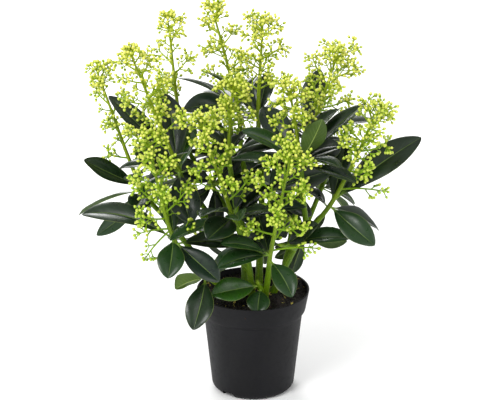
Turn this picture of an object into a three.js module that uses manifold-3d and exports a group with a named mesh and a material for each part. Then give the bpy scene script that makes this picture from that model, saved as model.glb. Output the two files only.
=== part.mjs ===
// A skimmia in bud, growing in its round nursery pot.
// Millimetres, +Z up. The origin is the middle of the pot's flat underside, and the front is -Y.
// Several stems rise from the soil. Each stem, and each bough that springs from one, ends in a whorl
// of leaves, and above most whorls stands a flower head: a thick green axis with side branches of buds.
import * as THREE from 'three';
import { mergeVertices } from 'three/addons/utils/BufferGeometryUtils.js';
import Module from 'manifold-3d';

const wasm = await Module();
wasm.setup();

// ---- Driving dimensions ------------------------------------------------------------------------

const gap = 0.3;                  // clearance between neighbouring pieces

const potHeight = 121;
const rimRadius = 65;             // outside of the rim, at its top
const rimChamfer = [0.7, 1.5];    // its width and height
const bandHeight = 24.5;          // the straight band under the rim
const bandFootRadius = 60.5;
const stepHeight = 3;             // the sloping step under the band
const shoulderRadius = 57;        // the body, just under the step
const footRadius = 48;
const footRound = 8;              // rounding of the bottom edge
const wallThickness = 2;
const floorThickness = 7;
const potSegments = 28;
const notchCount = 3;             // drainage notches in the bottom edge
const notchBearing = -129;        // degrees from +X
const notchWidth = 16;
const notchHeight = 6;
const notchDepth = 12;

const soilEdgeHeight = 113;
const soilHeight = 118;           // the level spot that the stems rise from
const soilLevelRadius = 26;
const soilMidRadius = 43;
const soilRimStrip = 4;           // the soil slopes down to the pot over this width
const soilLump = 3;
const soilHeap = { at: [42, 30], height: 13, spread: 16 };

const stemSunk = 8;               // a stem's path starts this far under the flat cut
const stemFootRadius = 4.2;
const stemFlare = 1.6;            // extra radius where a stem leaves the soil
const flareShare = 0.05;          // share of the path over which the flare dies away
const boughFootRadius = 3.4;
const whorlRadius = 2.6;          // any limb where its leaves sit
const tipRadius = 1.0;            // the flower axis at its top
const limbSides = 5;
const limbSteps = 4;
const parentRoom = 0.36;          // room left round the limb that a bough springs from

const whorlBelow = 14;            // length of leafy stem below the whorl point
const whorlAbove = 6;             // and above it
const leafRoom = 7;               // bare stem left above the topmost leaf
const leafThicknessShare = 0.014;
const leafFold = 18;              // degrees that each half of a blade is raised
const petioleShare = 0.1;
const petioleHalfWidth = 1.3;
const rootOffset = 0.9;           // from the middle of the stem to where a leaf starts inside it
const leafStations = [0, 0.32, 0.7, 1];
const lowestLeaf = 3;             // from the foot of the leafy stretch to its lowest leaf
const leanLow = 105;              // degrees from the stem of a whorl's lowest leaf
const leanHigh = 52;              // and of its highest
// Middle value and spread of what each leaf draws for itself, in degrees or shares.
const leafDraws = { turn: [0, 14], lean: [0, 9], size: [0.9, 0.12], slimness: [0.36, 0.03], bend: [28, 12] };

const goldenAngle = 137.508;      // degrees from one leaf or side branch to the next
const twigSides = 3;
const twigRadius = 0.8;
const budRadius = 4.2;            // each bud stands for a small cluster
const budLength = 12;
const budsBeside = 2;             // buds beside the one that ends a side branch
const besideLean = 66;            // degrees that they lean from it
const budSunk = 1.2;              // how far their roots start from its middle
const besideSpread = 8;
const topBuds = 3;
const topBudLength = 13;
const topRoot = 0.99;             // share of the path where the topmost bud is rooted
const branchLeanLow = 64;         // degrees from the flower axis of the lowest side branch
const branchLeanHigh = 42;
const branchLeanSpread = 7;
const branchTurnSpread = 16;
const branchBend = -22;           // side branches curve up
const branchTopShare = 0.62;      // length of the highest side branch, as a share of the lowest's
const branchSize = [0.92, 0.12];  // middle value and spread of each one's own size
const branchesEnd = 0.96;         // share of the flower axis above which none spring
const branchShift = 0.25;         // share of their spacing that each one may be off its place
const budNeck = 0.9;              // shares of a bud's length from its tip to where the twig swells
const budWidest = 0.4;            // and to where it is widest
const flowerAxisSides = 4;
const flowerAxisSteps = 2;

// Each shoot runs through its foot, knee, whorl and tip. A shoot with a rootAt is a stem that leaves
// the soil there, and the others spring from the limb of their parent, at a share of its path.
// reach is the length of the lowest side branches of the flower head, and bare the share of its axis
// below them. leafLength is the longest leaf's, and turn the bearing of the first, in degrees.
const shoots = [
  { name: 'front_left', rootAt: [-10, -8], knee: [-54, -36, 154], whorl: [-90, -58, 210],
    tip: [-115, -74, 329], reach: 50, branches: 12, bare: 0.04, leaves: 1, leafLength: 84, turn: 90,
    seed: 11 },
  { name: 'front_middle', rootAt: [0, -17], knee: [-8, -28, 180], whorl: [-25, -46, 234],
    tip: [-57, -70, 347], reach: 46, branches: 10, bare: 0.06, leaves: 5, leafLength: 84, turn: 20,
    seed: 12 },
  { name: 'front_right', rootAt: [12, -16], knee: [17, -38, 152], whorl: [20, -60, 192],
    tip: [41, -88, 318], reach: 50, branches: 12, bare: 0.06, leaves: 2, leafLength: 76, turn: 60,
    seed: 13 },
  { name: 'right', rootAt: [20, -3], knee: [49, -8, 177], whorl: [91, -14, 236],
    tip: [139, -28, 348], reach: 48, branches: 11, bare: 0.14, leaves: 2, leafLength: 84, turn: 10,
    seed: 14 },
  { name: 'top_middle', rootAt: [6, 6], knee: [10, 24, 233], whorl: [6, 50, 317],
    tip: [11, 60, 419], reach: 46, branches: 10, bare: 0.1, leaves: 5, leafLength: 80, turn: 10, seed: 15 },
  { name: 'rear_middle', rootAt: [-8, 14], knee: [-14, 60, 190], whorl: [-22, 104, 242],
    tip: [-30, 150, 318], reach: 36, branches: 6, bare: 0.1, leaves: 7, leafLength: 90, turn: 50, seed: 16 },
  { name: 'far_left', parent: 'front_left', joint: 0.2, knee: [-96, 2, 202], whorl: [-130, 20, 243],
    tip: [-175, 32, 371], reach: 36, branches: 9, bare: 0.12, leaves: 3, leafLength: 80, turn: 40,
    seed: 17 },
  { name: 'upper_left', parent: 'front_middle', joint: 0.2, knee: [-64, -12, 224], whorl: [-87, -6, 277],
    tip: [-134, -14, 405], reach: 45, branches: 11, bare: 0.26, leaves: 3, leafLength: 84, turn: 0,
    seed: 18 },
  { name: 'back_left', parent: 'top_middle', joint: 0.12, knee: [-48, 52, 228], whorl: [-81, 72, 284],
    tip: [-97, 82, 417], reach: 40, branches: 6, bare: 0.24, leaves: 5, leafLength: 82, turn: 90, seed: 19 },
  { name: 'top_left', parent: 'top_middle', joint: 0.22, knee: [-12, 50, 258], whorl: [-18, 74, 318],
    tip: [-46, 88, 428], reach: 40, branches: 9, bare: 0.14, leaves: 5, leafLength: 80, turn: 45, seed: 20 },
  { name: 'middle', parent: 'front_middle', joint: 0.42, knee: [-22, -10, 245], whorl: [-27, -6, 292],
    tip: [-23, 0, 363], reach: 42, branches: 8, bare: 0.1, leaves: 5, leafLength: 78, turn: 70, seed: 21 },
  { name: 'upper_right', parent: 'right', joint: 0.2, knee: [54, 12, 239], whorl: [66, 24, 302],
    tip: [94, 30, 391], reach: 54, branches: 11, bare: 0.12, leaves: 3, leafLength: 84, turn: 100,
    seed: 22 },
  { name: 'inner_right', parent: 'right', joint: 0.44, knee: [56, -18, 240], whorl: [52, -20, 290],
    tip: [40, -26, 370], reach: 34, branches: 7, bare: 0.26, leaves: 4, leafLength: 76, turn: 30, seed: 23 },
  { name: 'rear_left', parent: 'rear_middle', joint: 0.18, knee: [-58, 80, 190], whorl: [-88, 104, 232],
    tip: [-112, 132, 306], reach: 34, branches: 5, bare: 0.1, leaves: 7, leafLength: 82, turn: 20,
    seed: 24 },
  { name: 'rear_right', parent: 'rear_middle', joint: 0.12, knee: [30, 72, 190], whorl: [54, 102, 238],
    tip: [80, 138, 312], reach: 34, branches: 5, bare: 0.1, leaves: 6, leafLength: 88, turn: 0, seed: 25 },
  { name: 'rear_far_right', parent: 'right', joint: 0.12, knee: [61, 40, 182], whorl: [84, 68, 230],
    tip: [114, 90, 298], reach: 30, branches: 4, bare: 0.1, leaves: 5, leafLength: 62, turn: 40, seed: 26 },
  { name: 'low_left', parent: 'front_left', joint: 0.3, whorl: [-54, -52, 157],
    leaves: 1, leafLength: 62, turn: 60, seed: 27 },
  { name: 'low_front', parent: 'front_right', joint: 0.1, whorl: [6, -34, 141.5],
    leaves: 1, leafLength: 60, turn: 150, seed: 28 },
  { name: 'low_right', parent: 'right', joint: 0.32, whorl: [32, -31, 187],
    leaves: 1, leafLength: 70, turn: 150, seed: 29 },
  { name: 'low_rear_left', parent: 'rear_left', joint: 0.3, whorl: [-62, 64, 156],
    leaves: 4, leafLength: 74, turn: 100, seed: 30 },
  { name: 'low_rear_right', parent: 'rear_far_right', joint: 0.3, whorl: [62, 54, 160],
    leaves: 4, leafLength: 58, turn: 100, seed: 31 },
  { name: 'low_rear', parent: 'rear_middle', joint: 0.22, whorl: [2, 66, 182],
    leaves: 4, leafLength: 70, turn: 70, seed: 32 },
  { name: 'centre', parent: 'top_middle', joint: 0.33, whorl: [18, 2, 238],
    leaves: 5, leafLength: 80, turn: -70, seed: 33 },
  { name: 'centre_left', parent: 'back_left', joint: 0.34, whorl: [-42, 36, 236],
    leaves: 5, leafLength: 80, turn: -110, seed: 34 },
];

// The leaves that set the crown's outline: bearing and rise of the straight line to the tip in
// degrees, facing as degrees that the upper side leans from straight up to the front.
const outlineLeaves = [
  { shoot: 'far_left', bearing: -162, rise: 31, length: 76, width: 28, facing: 35, bend: -8 },
  { shoot: 'far_left', bearing: 159, rise: -47, length: 88, width: 23, facing: 50, bend: -30 },
  { shoot: 'far_left', bearing: -105, rise: -7, length: 42, width: 28, facing: 50, bend: 20 },
  { shoot: 'front_left', bearing: -96, rise: -34, length: 54, width: 32, facing: 30, bend: 20 },
  { shoot: 'front_left', bearing: 160, rise: 8, length: 116, width: 34, facing: 22, bend: 50 },
  { shoot: 'front_left', bearing: -24, rise: -36, length: 66, width: 30, facing: 40, bend: 24 },
  { shoot: 'front_left', bearing: 27, rise: -10, length: 76, width: 28, facing: 30, bend: 24 },
  { shoot: 'front_middle', bearing: -117, rise: -5, length: 60, width: 37, facing: 42, bend: 26 },
  { shoot: 'upper_left', bearing: 109, rise: 67, length: 84, width: 34, facing: 0, bend: 16 },
  { shoot: 'upper_left', bearing: 159, rise: 42, length: 112, width: 30, facing: 20, bend: 16 },
  { shoot: 'upper_left', bearing: -70, rise: -50, length: 64, width: 38, facing: 40, bend: 20 },
  { shoot: 'upper_left', bearing: 72, rise: 42, length: 62, width: 26, facing: 0, bend: 20 },
  { shoot: 'upper_left', bearing: -172, rise: 42, length: 66, width: 30, facing: 50, bend: 20 },
  { shoot: 'low_front', bearing: -154, rise: 0, length: 60, width: 31, facing: 45, bend: 24 },
  { shoot: 'low_front', bearing: -86, rise: -36, length: 34, width: 28, facing: 20, bend: 14 },
  { shoot: 'low_left', bearing: -106, rise: -43, length: 65, width: 33, facing: 50, bend: 20 },
  { shoot: 'low_left', bearing: -179, rise: -22, length: 38, width: 34, facing: -50, bend: 20 },
  { shoot: 'front_right', bearing: -156, rise: -4, length: 64, width: 28, facing: 25, bend: 34 },
  { shoot: 'front_right', bearing: -60, rise: -28, length: 56, width: 28, facing: 40, bend: 20 },
  { shoot: 'right', bearing: 17, rise: 32, length: 124, width: 36, facing: 45, bend: 20 },
  { shoot: 'right', bearing: 66, rise: 54, length: 72, width: 28, facing: 0, bend: 16 },
  { shoot: 'right', bearing: -36, rise: -29, length: 70, width: 32, facing: 50, bend: 30 },
  { shoot: 'right', bearing: 117, rise: 0, length: 76, width: 24, facing: -20, bend: 24 },
  { shoot: 'low_right', bearing: -8, rise: 10, length: 78, width: 30, facing: 20, bend: 40 },
  { shoot: 'low_right', bearing: -31, rise: 40, length: 54, width: 26, facing: 40, bend: 20 },
  { shoot: 'upper_right', bearing: 75, rise: 56, length: 82, width: 30, facing: 0, bend: 14 },
  { shoot: 'inner_right', bearing: 128, rise: 32, length: 80, width: 34, facing: 35, bend: 20 },
  { shoot: 'inner_right', bearing: -44, rise: 60, length: 64, width: 28, facing: -75, bend: -30 },
  { shoot: 'inner_right', bearing: 22, rise: 37, length: 98, width: 26, facing: 8, bend: 24 },
  { shoot: 'inner_right', bearing: -160, rise: 34, length: 84, width: 28, facing: 30, bend: 26 },
  { shoot: 'inner_right', bearing: 35, rise: 15, length: 56, width: 30, facing: 45, bend: 20 },
  { shoot: 'top_middle', bearing: 70, rise: 52, length: 52, width: 26, facing: 0, bend: 10 },
  { shoot: 'top_middle', bearing: 118, rise: 38, length: 50, width: 26, facing: 0, bend: 16 },
  { shoot: 'top_left', bearing: -148, rise: 12, length: 78, width: 32, facing: 40, bend: 60 },
];

// ---- Solids from swept blanks --------------------------------------------------------------------

const radians = THREE.MathUtils.degToRad;
const mix = THREE.MathUtils.lerp;

// The closed solid of a three.js geometry, its shared corners merged and empty triangles dropped.
function solidOf(geometry) {
  geometry.deleteAttribute('normal');
  geometry.deleteAttribute('uv');
  const merged = mergeVertices(geometry, 1e-4);
  const corners = merged.index.array;
  const triangles = [];
  for (let i = 0; i < corners.length; i += 3) {
    const [a, b, c] = [corners[i], corners[i + 1], corners[i + 2]];
    if (a !== b && b !== c && c !== a) triangles.push(a, b, c);
  }
  return new wasm.Manifold(new wasm.Mesh({
    numProp: 3,
    vertProperties: Float32Array.from(merged.attributes.position.array),
    triVerts: Uint32Array.from(triangles),
  }));
}

// Bends a cylinder so that its rings lie at the given stations: place says where the corner at an
// angle round the ring goes, and reach is 0 for the middle of an end and 1 for the ring itself.
function sweep(sides, stations, pointed, place) {
  const steps = stations.length - 1;
  const blank = new THREE.CylinderGeometry(pointed ? 0 : 1, 1, 1, sides, steps);
  const corners = blank.getAttribute('position');
  for (let i = 0; i < corners.count; i += 1) {
    const station = stations[Math.round((corners.getY(i) + 0.5) * steps)];
    const angle = Math.atan2(corners.getX(i), corners.getZ(i));
    const reach = Math.hypot(corners.getX(i), corners.getZ(i)) > 1e-6 ? 1 : 0;
    const corner = place(station, angle, reach);
    corners.setXYZ(i, corner.x, corner.y, corner.z);
  }
  return solidOf(blank);
}

function evenStations(from, to, steps) {
  return Array.from({ length: steps + 1 }, (_, i) => mix(from, to, i / steps));
}

// The largest body of a joined solid, without loose scraps or sealed hollows.
function largestBody(joined) {
  return joined.decompose().reduce((best, body) => (body.volume() > best.volume() ? body : best));
}

function joinAll(solids) {
  return largestBody(solids.reduce((whole, solid) => whole.add(solid)));
}

function vector(values) {
  return new THREE.Vector3(...values);
}

// ---- Seeded draws ----------------------------------------------------------------------------------

// A stream of numbers from 0 to 1 that is the same for the same seed.
function seededDraws(seed) {
  let state = (seed * 7919 + 12345) % 2147483647;
  const draw = () => {
    state = (state * 16807) % 2147483647;
    return state / 2147483647;
  };
  draw();
  draw();
  return draw;
}

// A number drawn evenly from the middle plus or minus a spread.
function around(draw, middle, spread) {
  return middle + (2 * draw() - 1) * spread;
}

// ---- The shoots' paths -----------------------------------------------------------------------------

const pathStep = 1e-4;
const pathPastWhorl = 0.6;        // the path of a shoot without a tip goes on by this share of its end

// The path of each shoot by name, with the stretches that its pieces take.
const paths = new Map();

// The way that the path goes, per unit of its share, at t.
function paceAt(curve, t) {
  const near = THREE.MathUtils.clamp(t, pathStep, 1 - pathStep);
  const before = curve.getPoint(near - pathStep);
  return curve.getPoint(near + pathStep).sub(before).divideScalar(2 * pathStep);
}

function directionAt(curve, t) {
  return paceAt(curve, t).normalize();
}

// The share of the path that a length takes at t.
function shareOf(curve, t, length) {
  return length / paceAt(curve, t).length();
}

for (const shoot of shoots) {
  const foot = shoot.rootAt
    ? new THREE.Vector3(shoot.rootAt[0], shoot.rootAt[1], soilHeight - stemSunk)
    : paths.get(shoot.parent).curve.getPoint(shoot.joint);
  const whorl = vector(shoot.whorl);
  const knee = shoot.knee ? vector(shoot.knee) : foot.clone().lerp(whorl, 0.5);
  const tip = shoot.tip ? vector(shoot.tip) : whorl.clone().lerp(knee, -pathPastWhorl);
  const curve = new THREE.CatmullRomCurve3([foot, knee, whorl, tip], false, 'catmullrom', 0.5);
  const whorlStart = (2 - whorlBelow / knee.distanceTo(whorl)) / 3;
  const whorlEnd = (2 + whorlAbove / whorl.distanceTo(tip)) / 3;
  paths.set(shoot.name, { curve, whorlStart: shoot.tip ? whorlStart : 0, whorlEnd, leafStart: whorlStart });
}

// The radius of a shoot's limb at t.
function limbRadius(shoot, t) {
  const footSize = shoot.rootAt ? stemFootRadius : boughFootRadius;
  const flare = shoot.rootAt ? stemFlare * Math.exp(-t / flareShare) : 0;
  const lower = mix(footSize, whorlRadius, Math.min(1, t * 1.5));
  return mix(lower, tipRadius, Math.max(0, t * 3 - 2)) + flare;
}

// A stretch of a shoot's limb, as one tapering piece.
function limbPiece(shoot, from, to, steps, sides, extra = 0) {
  const { curve } = paths.get(shoot.name);
  return sweep(sides, evenStations(from, to, steps), false, (t, angle, reach) => {
    const direction = directionAt(curve, t);
    const across = new THREE.Vector3(0, 1, 0).cross(direction).normalize();
    const upper = across.clone().cross(direction);
    const radius = (limbRadius(shoot, t) + extra) * reach;
    return curve.getPoint(t)
      .addScaledVector(across, Math.sin(angle) * radius)
      .addScaledVector(upper, Math.cos(angle) * radius);
  });
}

// The limb that a shoot springs from, with its clearance.
function roomOfParent(shoot) {
  const parent = shoots.find((other) => other.name === shoot.parent);
  return limbPiece(parent, 0, paths.get(parent.name).whorlStart, limbSteps, limbSides, parentRoom);
}

// ---- Room for twigs and leaves -----------------------------------------------------------------------

// Balls that mark the room that each piece already takes.
const taken = [];

// outer says, for a point, whether it also keeps clear of the twigs or leaves of its own piece.
function take(owner, shootName, points, radius, outer = () => false) {
  points.forEach((point, i) => taken.push({ owner, shootName, point, radius, outer: outer(i) }));
}

// Whether points would touch what is there. Those near the root may lie close to their own shoot.
function isFree(owner, shootName, points, radius, nearRoot, outer = () => false) {
  return points.every((point, i) => taken.every((ball) => {
    if (ball.owner === owner && !(ball.outer && outer(i))) return true;
    if (ball.shootName === shootName && nearRoot(i)) return true;
    return ball.point.distanceTo(point) > ball.radius + radius;
  }));
}

const roomSpacing = 4;            // between the balls along a limb or twig
const limbRoom = 1.2;
const leafRoomRadius = 2.8;
const twigRoomRadius = 1.8;
const budRoomRadius = 3.6;
const rimRoomRadius = 3;

// ---- Leaves --------------------------------------------------------------------------------------------

// Half the width of a blade at a share of its length, for a blade one wide.
function bladeProfile(share) {
  const along = (share - petioleShare) / (1 - petioleShare);
  if (along <= 0 || along >= 1) return 0;
  return 0.5 * Math.sin(Math.PI * along ** 1.2) ** 0.7;
}

// Where a blade is: an arc from its root, whose straight line to the tip runs in a direction.
function arcFrame(root, direction, upperHint, length, bend) {
  const across = direction.clone().cross(upperHint).normalize();
  const upper = across.clone().cross(direction);
  const turn = radians(bend);
  const at = (share) => {
    const angle = turn / 2 - turn * share;
    const ahead = (length / turn) * (Math.sin(turn / 2) - Math.sin(angle));
    const rise = (length / turn) * (Math.cos(angle) - Math.cos(turn / 2));
    return {
      middle: root.clone().addScaledVector(direction, ahead).addScaledVector(upper, rise),
      normal: upper.clone().multiplyScalar(Math.cos(angle)).addScaledVector(direction, -Math.sin(angle)),
    };
  };
  return { across, at };
}

// A point of the blade, side from -1 on one edge to 1 on the other.
function bladePoint(leaf, share, side) {
  const half = Math.max(bladeProfile(share) * leaf.width, share < 1 ? petioleHalfWidth : 0);
  const { middle, normal } = leaf.frame.at(share);
  const fold = radians(leafFold) * Math.min(1, half / leaf.width * 4);
  return middle
    .addScaledVector(leaf.frame.across, side * half * Math.cos(fold))
    .addScaledVector(normal, Math.abs(side) * half * Math.sin(fold));
}

function leafSolid(leaf) {
  const thickness = leaf.length * leafThicknessShare;
  return sweep(4, leafStations, true, (share, angle, reach) => {
    const side = Math.sin(angle) * reach;
    const point = bladePoint(leaf, share, side);
    const lift = share < 1 ? (Math.cos(angle) * reach * thickness) / 2 : 0;
    return point.addScaledVector(leaf.frame.at(share).normal, lift);
  });
}

const leafRows = 12;
const rootRows = 2;
const leafColumns = [-1, -0.5, 0, 0.5, 1];

function leafRoomPoints(leaf) {
  const points = [];
  for (let row = 2; row <= leafRows; row += 1) {
    for (const side of leafColumns) points.push(bladePoint(leaf, row / leafRows, side));
  }
  return points;
}

const outlineTries = [[0, 0], [0, -10], [12, 0], [-12, 0], [0, 12], [18, -10], [-18, -10], [0, -24]];
const ruleTries = [...outlineTries, [32, 0], [-32, 0], [48, 8], [-48, 8], [66, -6], [-66, -6]];

// Grows a leaf if it finds room, after small turns of its bearing and rise, and returns its solid.
function growLeaf(owner, shootName, tries, makeLeaf) {
  for (const [turn, lift] of tries) {
    const leaf = makeLeaf(turn, lift);
    const points = leafRoomPoints(leaf);
    const nearRoot = (i) => i < rootRows * leafColumns.length;
    const outer = (i) => !nearRoot(i);
    if (isFree(owner, shootName, points, leafRoomRadius, nearRoot, outer)) {
      take(owner, shootName, points, leafRoomRadius, outer);
      return leafSolid(leaf);
    }
  }
  return null;
}

// The point and direction of the leafy stem, at a share of the stretch that bears leaves.
function leafSeat(shoot, share) {
  const { curve, leafStart, whorlEnd } = paths.get(shoot.name);
  const first = Math.max(leafStart, 0) + shareOf(curve, Math.max(leafStart, 0), lowestLeaf);
  const last = whorlEnd - shareOf(curve, whorlEnd, leafRoom);
  const t = mix(first, last, share);
  return { point: curve.getPoint(t), axis: directionAt(curve, t) };
}

function outlineLeaf(shoot, row, share, turn, lift) {
  const { point } = leafSeat(shoot, share);
  const bearing = radians(row.bearing + turn);
  const rise = radians(row.rise + lift);
  const direction = new THREE.Vector3(
    Math.cos(bearing) * Math.cos(rise), Math.sin(bearing) * Math.cos(rise), Math.sin(rise));
  const lean = radians(row.facing);
  const upperHint = new THREE.Vector3(0, -Math.sin(lean), Math.cos(lean));
  const root = point.addScaledVector(direction, rootOffset);
  return { length: row.length, width: row.width,
    frame: arcFrame(root, direction, upperHint, row.length, row.bend) };
}

// The direction that leans by an angle from an axis, at a bearing round it from +X towards +Y.
function leaningDirection(axis, bearing, lean) {
  const side = new THREE.Vector3(1, 0, 0).addScaledVector(axis, -axis.x).normalize();
  const back = axis.clone().cross(side);
  return axis.clone().multiplyScalar(Math.cos(lean))
    .addScaledVector(side, Math.sin(lean) * Math.cos(bearing))
    .addScaledVector(back, Math.sin(lean) * Math.sin(bearing));
}

function ruleLeaf(shoot, number, drawn, turn, lift) {
  const share = (number + 0.5) / shoot.leaves;
  const { point, axis } = leafSeat(shoot, share);
  const bearing = radians(shoot.turn + goldenAngle * number + drawn.turn + turn);
  const lean = radians(mix(leanLow, leanHigh, share) + drawn.lean - lift);
  const length = shoot.leafLength * drawn.size;
  const direction = leaningDirection(axis, bearing, lean);
  const root = point.addScaledVector(direction, rootOffset);
  return { length, width: length * drawn.slimness,
    frame: arcFrame(root, direction, axis, length, drawn.bend) };
}

function drawLeaf(draw) {
  return Object.fromEntries(
    Object.entries(leafDraws).map(([key, [middle, spread]]) => [key, around(draw, middle, spread)]));
}

// ---- Flower heads ---------------------------------------------------------------------------------------

// A twig that ends in a bud, or a bud alone where the twig's radius is 0: stations are its rings, and
// the last ring before the tip is the bud's widest.
function budSolid(frame, stations, radiusOfTwig) {
  const widest = stations[stations.length - 2];
  return sweep(twigSides, stations, true, (share, angle, reach) => {
    const { middle, normal } = frame.at(share);
    const radius = (share === widest ? budRadius : radiusOfTwig) * (share < 1 ? reach : 0);
    return middle.addScaledVector(frame.across, Math.sin(angle) * radius)
      .addScaledVector(normal, Math.cos(angle) * radius);
  });
}

// Buds round the one that ends a twig, with their roots sunk in it.
function budsRound(owner, shootName, seat, direction, count, turn, draw) {
  const solids = [];
  for (let number = 0; number < count; number += 1) {
    const bearing = turn + (Math.PI * 2 * number) / count;
    const spread = leaningDirection(direction, bearing, radians(around(draw, besideLean, besideSpread)));
    const length = budLength * around(draw, 1, branchSize[1]);
    const root = seat.clone().addScaledVector(spread, budSunk);
    const bud = root.clone().addScaledVector(spread, length);
    if (!isFree(owner, shootName, [bud], budRoomRadius, () => false)) continue;
    take(owner, shootName, [bud], budRoomRadius);
    solids.push(budSolid(arcFrame(root, spread, direction, length, branchBend), [0, 1 - budWidest, 1], 0));
  }
  return solids;
}

function stalkRoomPoints(frame, length) {
  const count = Math.max(2, Math.round(length / roomSpacing));
  return Array.from({ length: count }, (_, i) => frame.at((i + 1) / count).middle);
}

// One side branch, with the bud stalks beside its end.
function sideBranch(shoot, number, owner) {
  const { curve, whorlEnd } = paths.get(shoot.name);
  const draw = seededDraws(shoot.seed * 100 + number);
  const place = (number + around(draw, 0.5, branchShift)) / shoot.branches;
  const height = mix(shoot.bare, branchesEnd, place);
  const t = mix(whorlEnd, 1, height);
  const axis = directionAt(curve, t);
  const bearing = radians(shoot.turn + goldenAngle * number + around(draw, 0, branchTurnSpread));
  const lean = radians(mix(branchLeanLow, branchLeanHigh, height) + around(draw, 0, branchLeanSpread));
  const length = shoot.reach * mix(1, branchTopShare, height) * around(draw, ...branchSize);
  const direction = leaningDirection(axis, bearing, lean);
  const root = curve.getPoint(t);
  const frame = arcFrame(root, direction, axis, length, branchBend);
  const points = stalkRoomPoints(frame, length);
  if (!isFree(owner, shoot.name, points, twigRoomRadius, (i) => i < 2)) return [];
  const end = points[points.length - 1];
  if (!isFree(owner, shoot.name, [end], budRoomRadius, () => false)) return [];
  take(owner, shoot.name, points, twigRoomRadius);
  take(owner, shoot.name, [end], budRoomRadius);
  const widest = 1 - budLength * budWidest / length;
  const neck = 1 - budLength * budNeck / length;
  const seat = frame.at(widest).middle;
  return [
    budSolid(frame, [0, neck, widest, 1], twigRadius),
    ...budsRound(owner, shoot.name, seat, direction, budsBeside, around(draw, 0, Math.PI), draw),
  ];
}

// The buds at the top of the flower axis.
function topCluster(shoot, owner) {
  const { curve } = paths.get(shoot.name);
  const draw = seededDraws(shoot.seed * 100 + 99);
  const root = curve.getPoint(topRoot);
  const axis = directionAt(curve, topRoot);
  const frame = arcFrame(root, axis, new THREE.Vector3(0, 1, 0), topBudLength, 1);
  const seat = frame.at(1 - budWidest).middle;
  return [
    budSolid(frame, [0, 1 - budWidest, 1], twigRadius),
    ...budsRound(owner, shoot.name, seat, axis, topBuds, around(draw, 0, Math.PI), draw),
  ];
}

// ---- Pot and soil ---------------------------------------------------------------------------------------

function profilePoints(pairs) {
  return pairs.map(([radius, height]) => new THREE.Vector2(radius, height));
}

function makePot() {
  const bandFoot = potHeight - bandHeight;
  const shoulder = bandFoot - stepHeight;
  const arc = [0, 1, 2].map((i) => {
    const angle = radians(45 * i);
    return [footRadius - footRound + footRound * Math.sin(angle), footRound - footRound * Math.cos(angle)];
  });
  const wall = new THREE.LatheGeometry(profilePoints([
    [0, 0], ...arc,
    [shoulderRadius, shoulder], [bandFootRadius, bandFoot], [rimRadius, potHeight - rimChamfer[1]],
    [rimRadius - rimChamfer[0], potHeight], [rimRadius - wallThickness, potHeight],
    [bandFootRadius - wallThickness, bandFoot], [shoulderRadius - wallThickness, shoulder],
    [footRadius - wallThickness, floorThickness], [0, floorThickness],
  ]), potSegments);
  wall.rotateX(Math.PI / 2);
  let pot = solidOf(wall);
  for (let number = 0; number < notchCount; number += 1) {
    const notch = new THREE.BoxGeometry(2 * notchDepth, notchWidth, 2 * notchHeight);
    notch.translate(footRadius, 0, 0);
    notch.rotateZ(radians(notchBearing + (360 / notchCount) * number));
    pot = pot.subtract(solidOf(notch));
  }
  return largestBody(pot);
}

// Turns each point of a round of the lathe into its place from its radius, height and bearing.
function latheSolid(pairs, place) {
  const geometry = new THREE.LatheGeometry(profilePoints(pairs), potSegments);
  const corners = geometry.getAttribute('position');
  for (let i = 0; i < corners.count; i += 1) {
    const radius = Math.hypot(corners.getX(i), corners.getZ(i));
    const bearing = Math.atan2(corners.getX(i), corners.getZ(i));
    const corner = place(radius, corners.getY(i), bearing);
    corners.setXYZ(i, corner.x, corner.y, corner.z);
  }
  return solidOf(geometry);
}

// The height of the soil: level round the stems, lumpy beyond, lower at the rim and heaped at one side.
function soilSurface(radius, bearing) {
  const outward = THREE.MathUtils.clamp((radius - soilLevelRadius) / (rimRadius - soilLevelRadius), 0, 1);
  const lump = Math.sin(3 * bearing + 1) * Math.cos(5 * bearing + radius / 6) + 0.5 * Math.sin(8 * bearing);
  const x = radius * Math.sin(bearing) - soilHeap.at[0];
  const y = -radius * Math.cos(bearing) - soilHeap.at[1];
  const heap = soilHeap.height * Math.exp(-(x * x + y * y) / soilHeap.spread ** 2);
  const plain = mix(soilHeight, soilEdgeHeight, outward) + soilLump * lump * Math.sin(Math.PI * outward);
  return plain + heap * Math.min(1, 3 * outward);
}

function makeSoil() {
  const bandFoot = potHeight - bandHeight;
  const inset = wallThickness + gap;
  const edge = mix(bandFootRadius, rimRadius, (soilEdgeHeight - bandFoot) / bandHeight) - inset;
  const rings = [edge - soilRimStrip, soilMidRadius, soilLevelRadius].map((radius) => [radius, soilHeight]);
  return latheSolid([
    [0, floorThickness + gap], [footRadius - inset, floorThickness + gap],
    [shoulderRadius - inset, bandFoot - stepHeight], [bandFootRadius - inset, bandFoot],
    [edge, soilEdgeHeight], ...rings, [0, soilHeight],
  ], (radius, height, bearing) => {
    const top = height === soilHeight ? soilSurface(radius, bearing) : height;
    return new THREE.Vector3(radius * Math.sin(bearing), -radius * Math.cos(bearing), top);
  });
}

// ---- Putting the plant together --------------------------------------------------------------------

const plant = new THREE.Group();
plant.name = 'potted_skimmia';

const finishes = {
  pot: { color: 0x2b2b30, roughness: 0.55 },
  soil: { color: 0x1d1712, roughness: 0.95 },
  wood: { color: 0x6f9a1e, roughness: 0.55 },
  leaf: { color: 0x2c4a30, roughness: 0.4 },
  flower: { color: 0xc9d94a, roughness: 0.6 },
};

function addPiece(name, solid, finish) {
  const { vertProperties, triVerts } = solid.getMesh();
  const geometry = new THREE.BufferGeometry();
  geometry.setAttribute('position', new THREE.BufferAttribute(vertProperties, 3));
  geometry.setIndex(new THREE.BufferAttribute(triVerts, 1));
  geometry.computeVertexNormals();
  const material = new THREE.MeshStandardMaterial({ ...finishes[finish], metalness: 0 });
  const mesh = new THREE.Mesh(geometry, material);
  mesh.name = name;
  plant.add(mesh);
}

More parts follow.
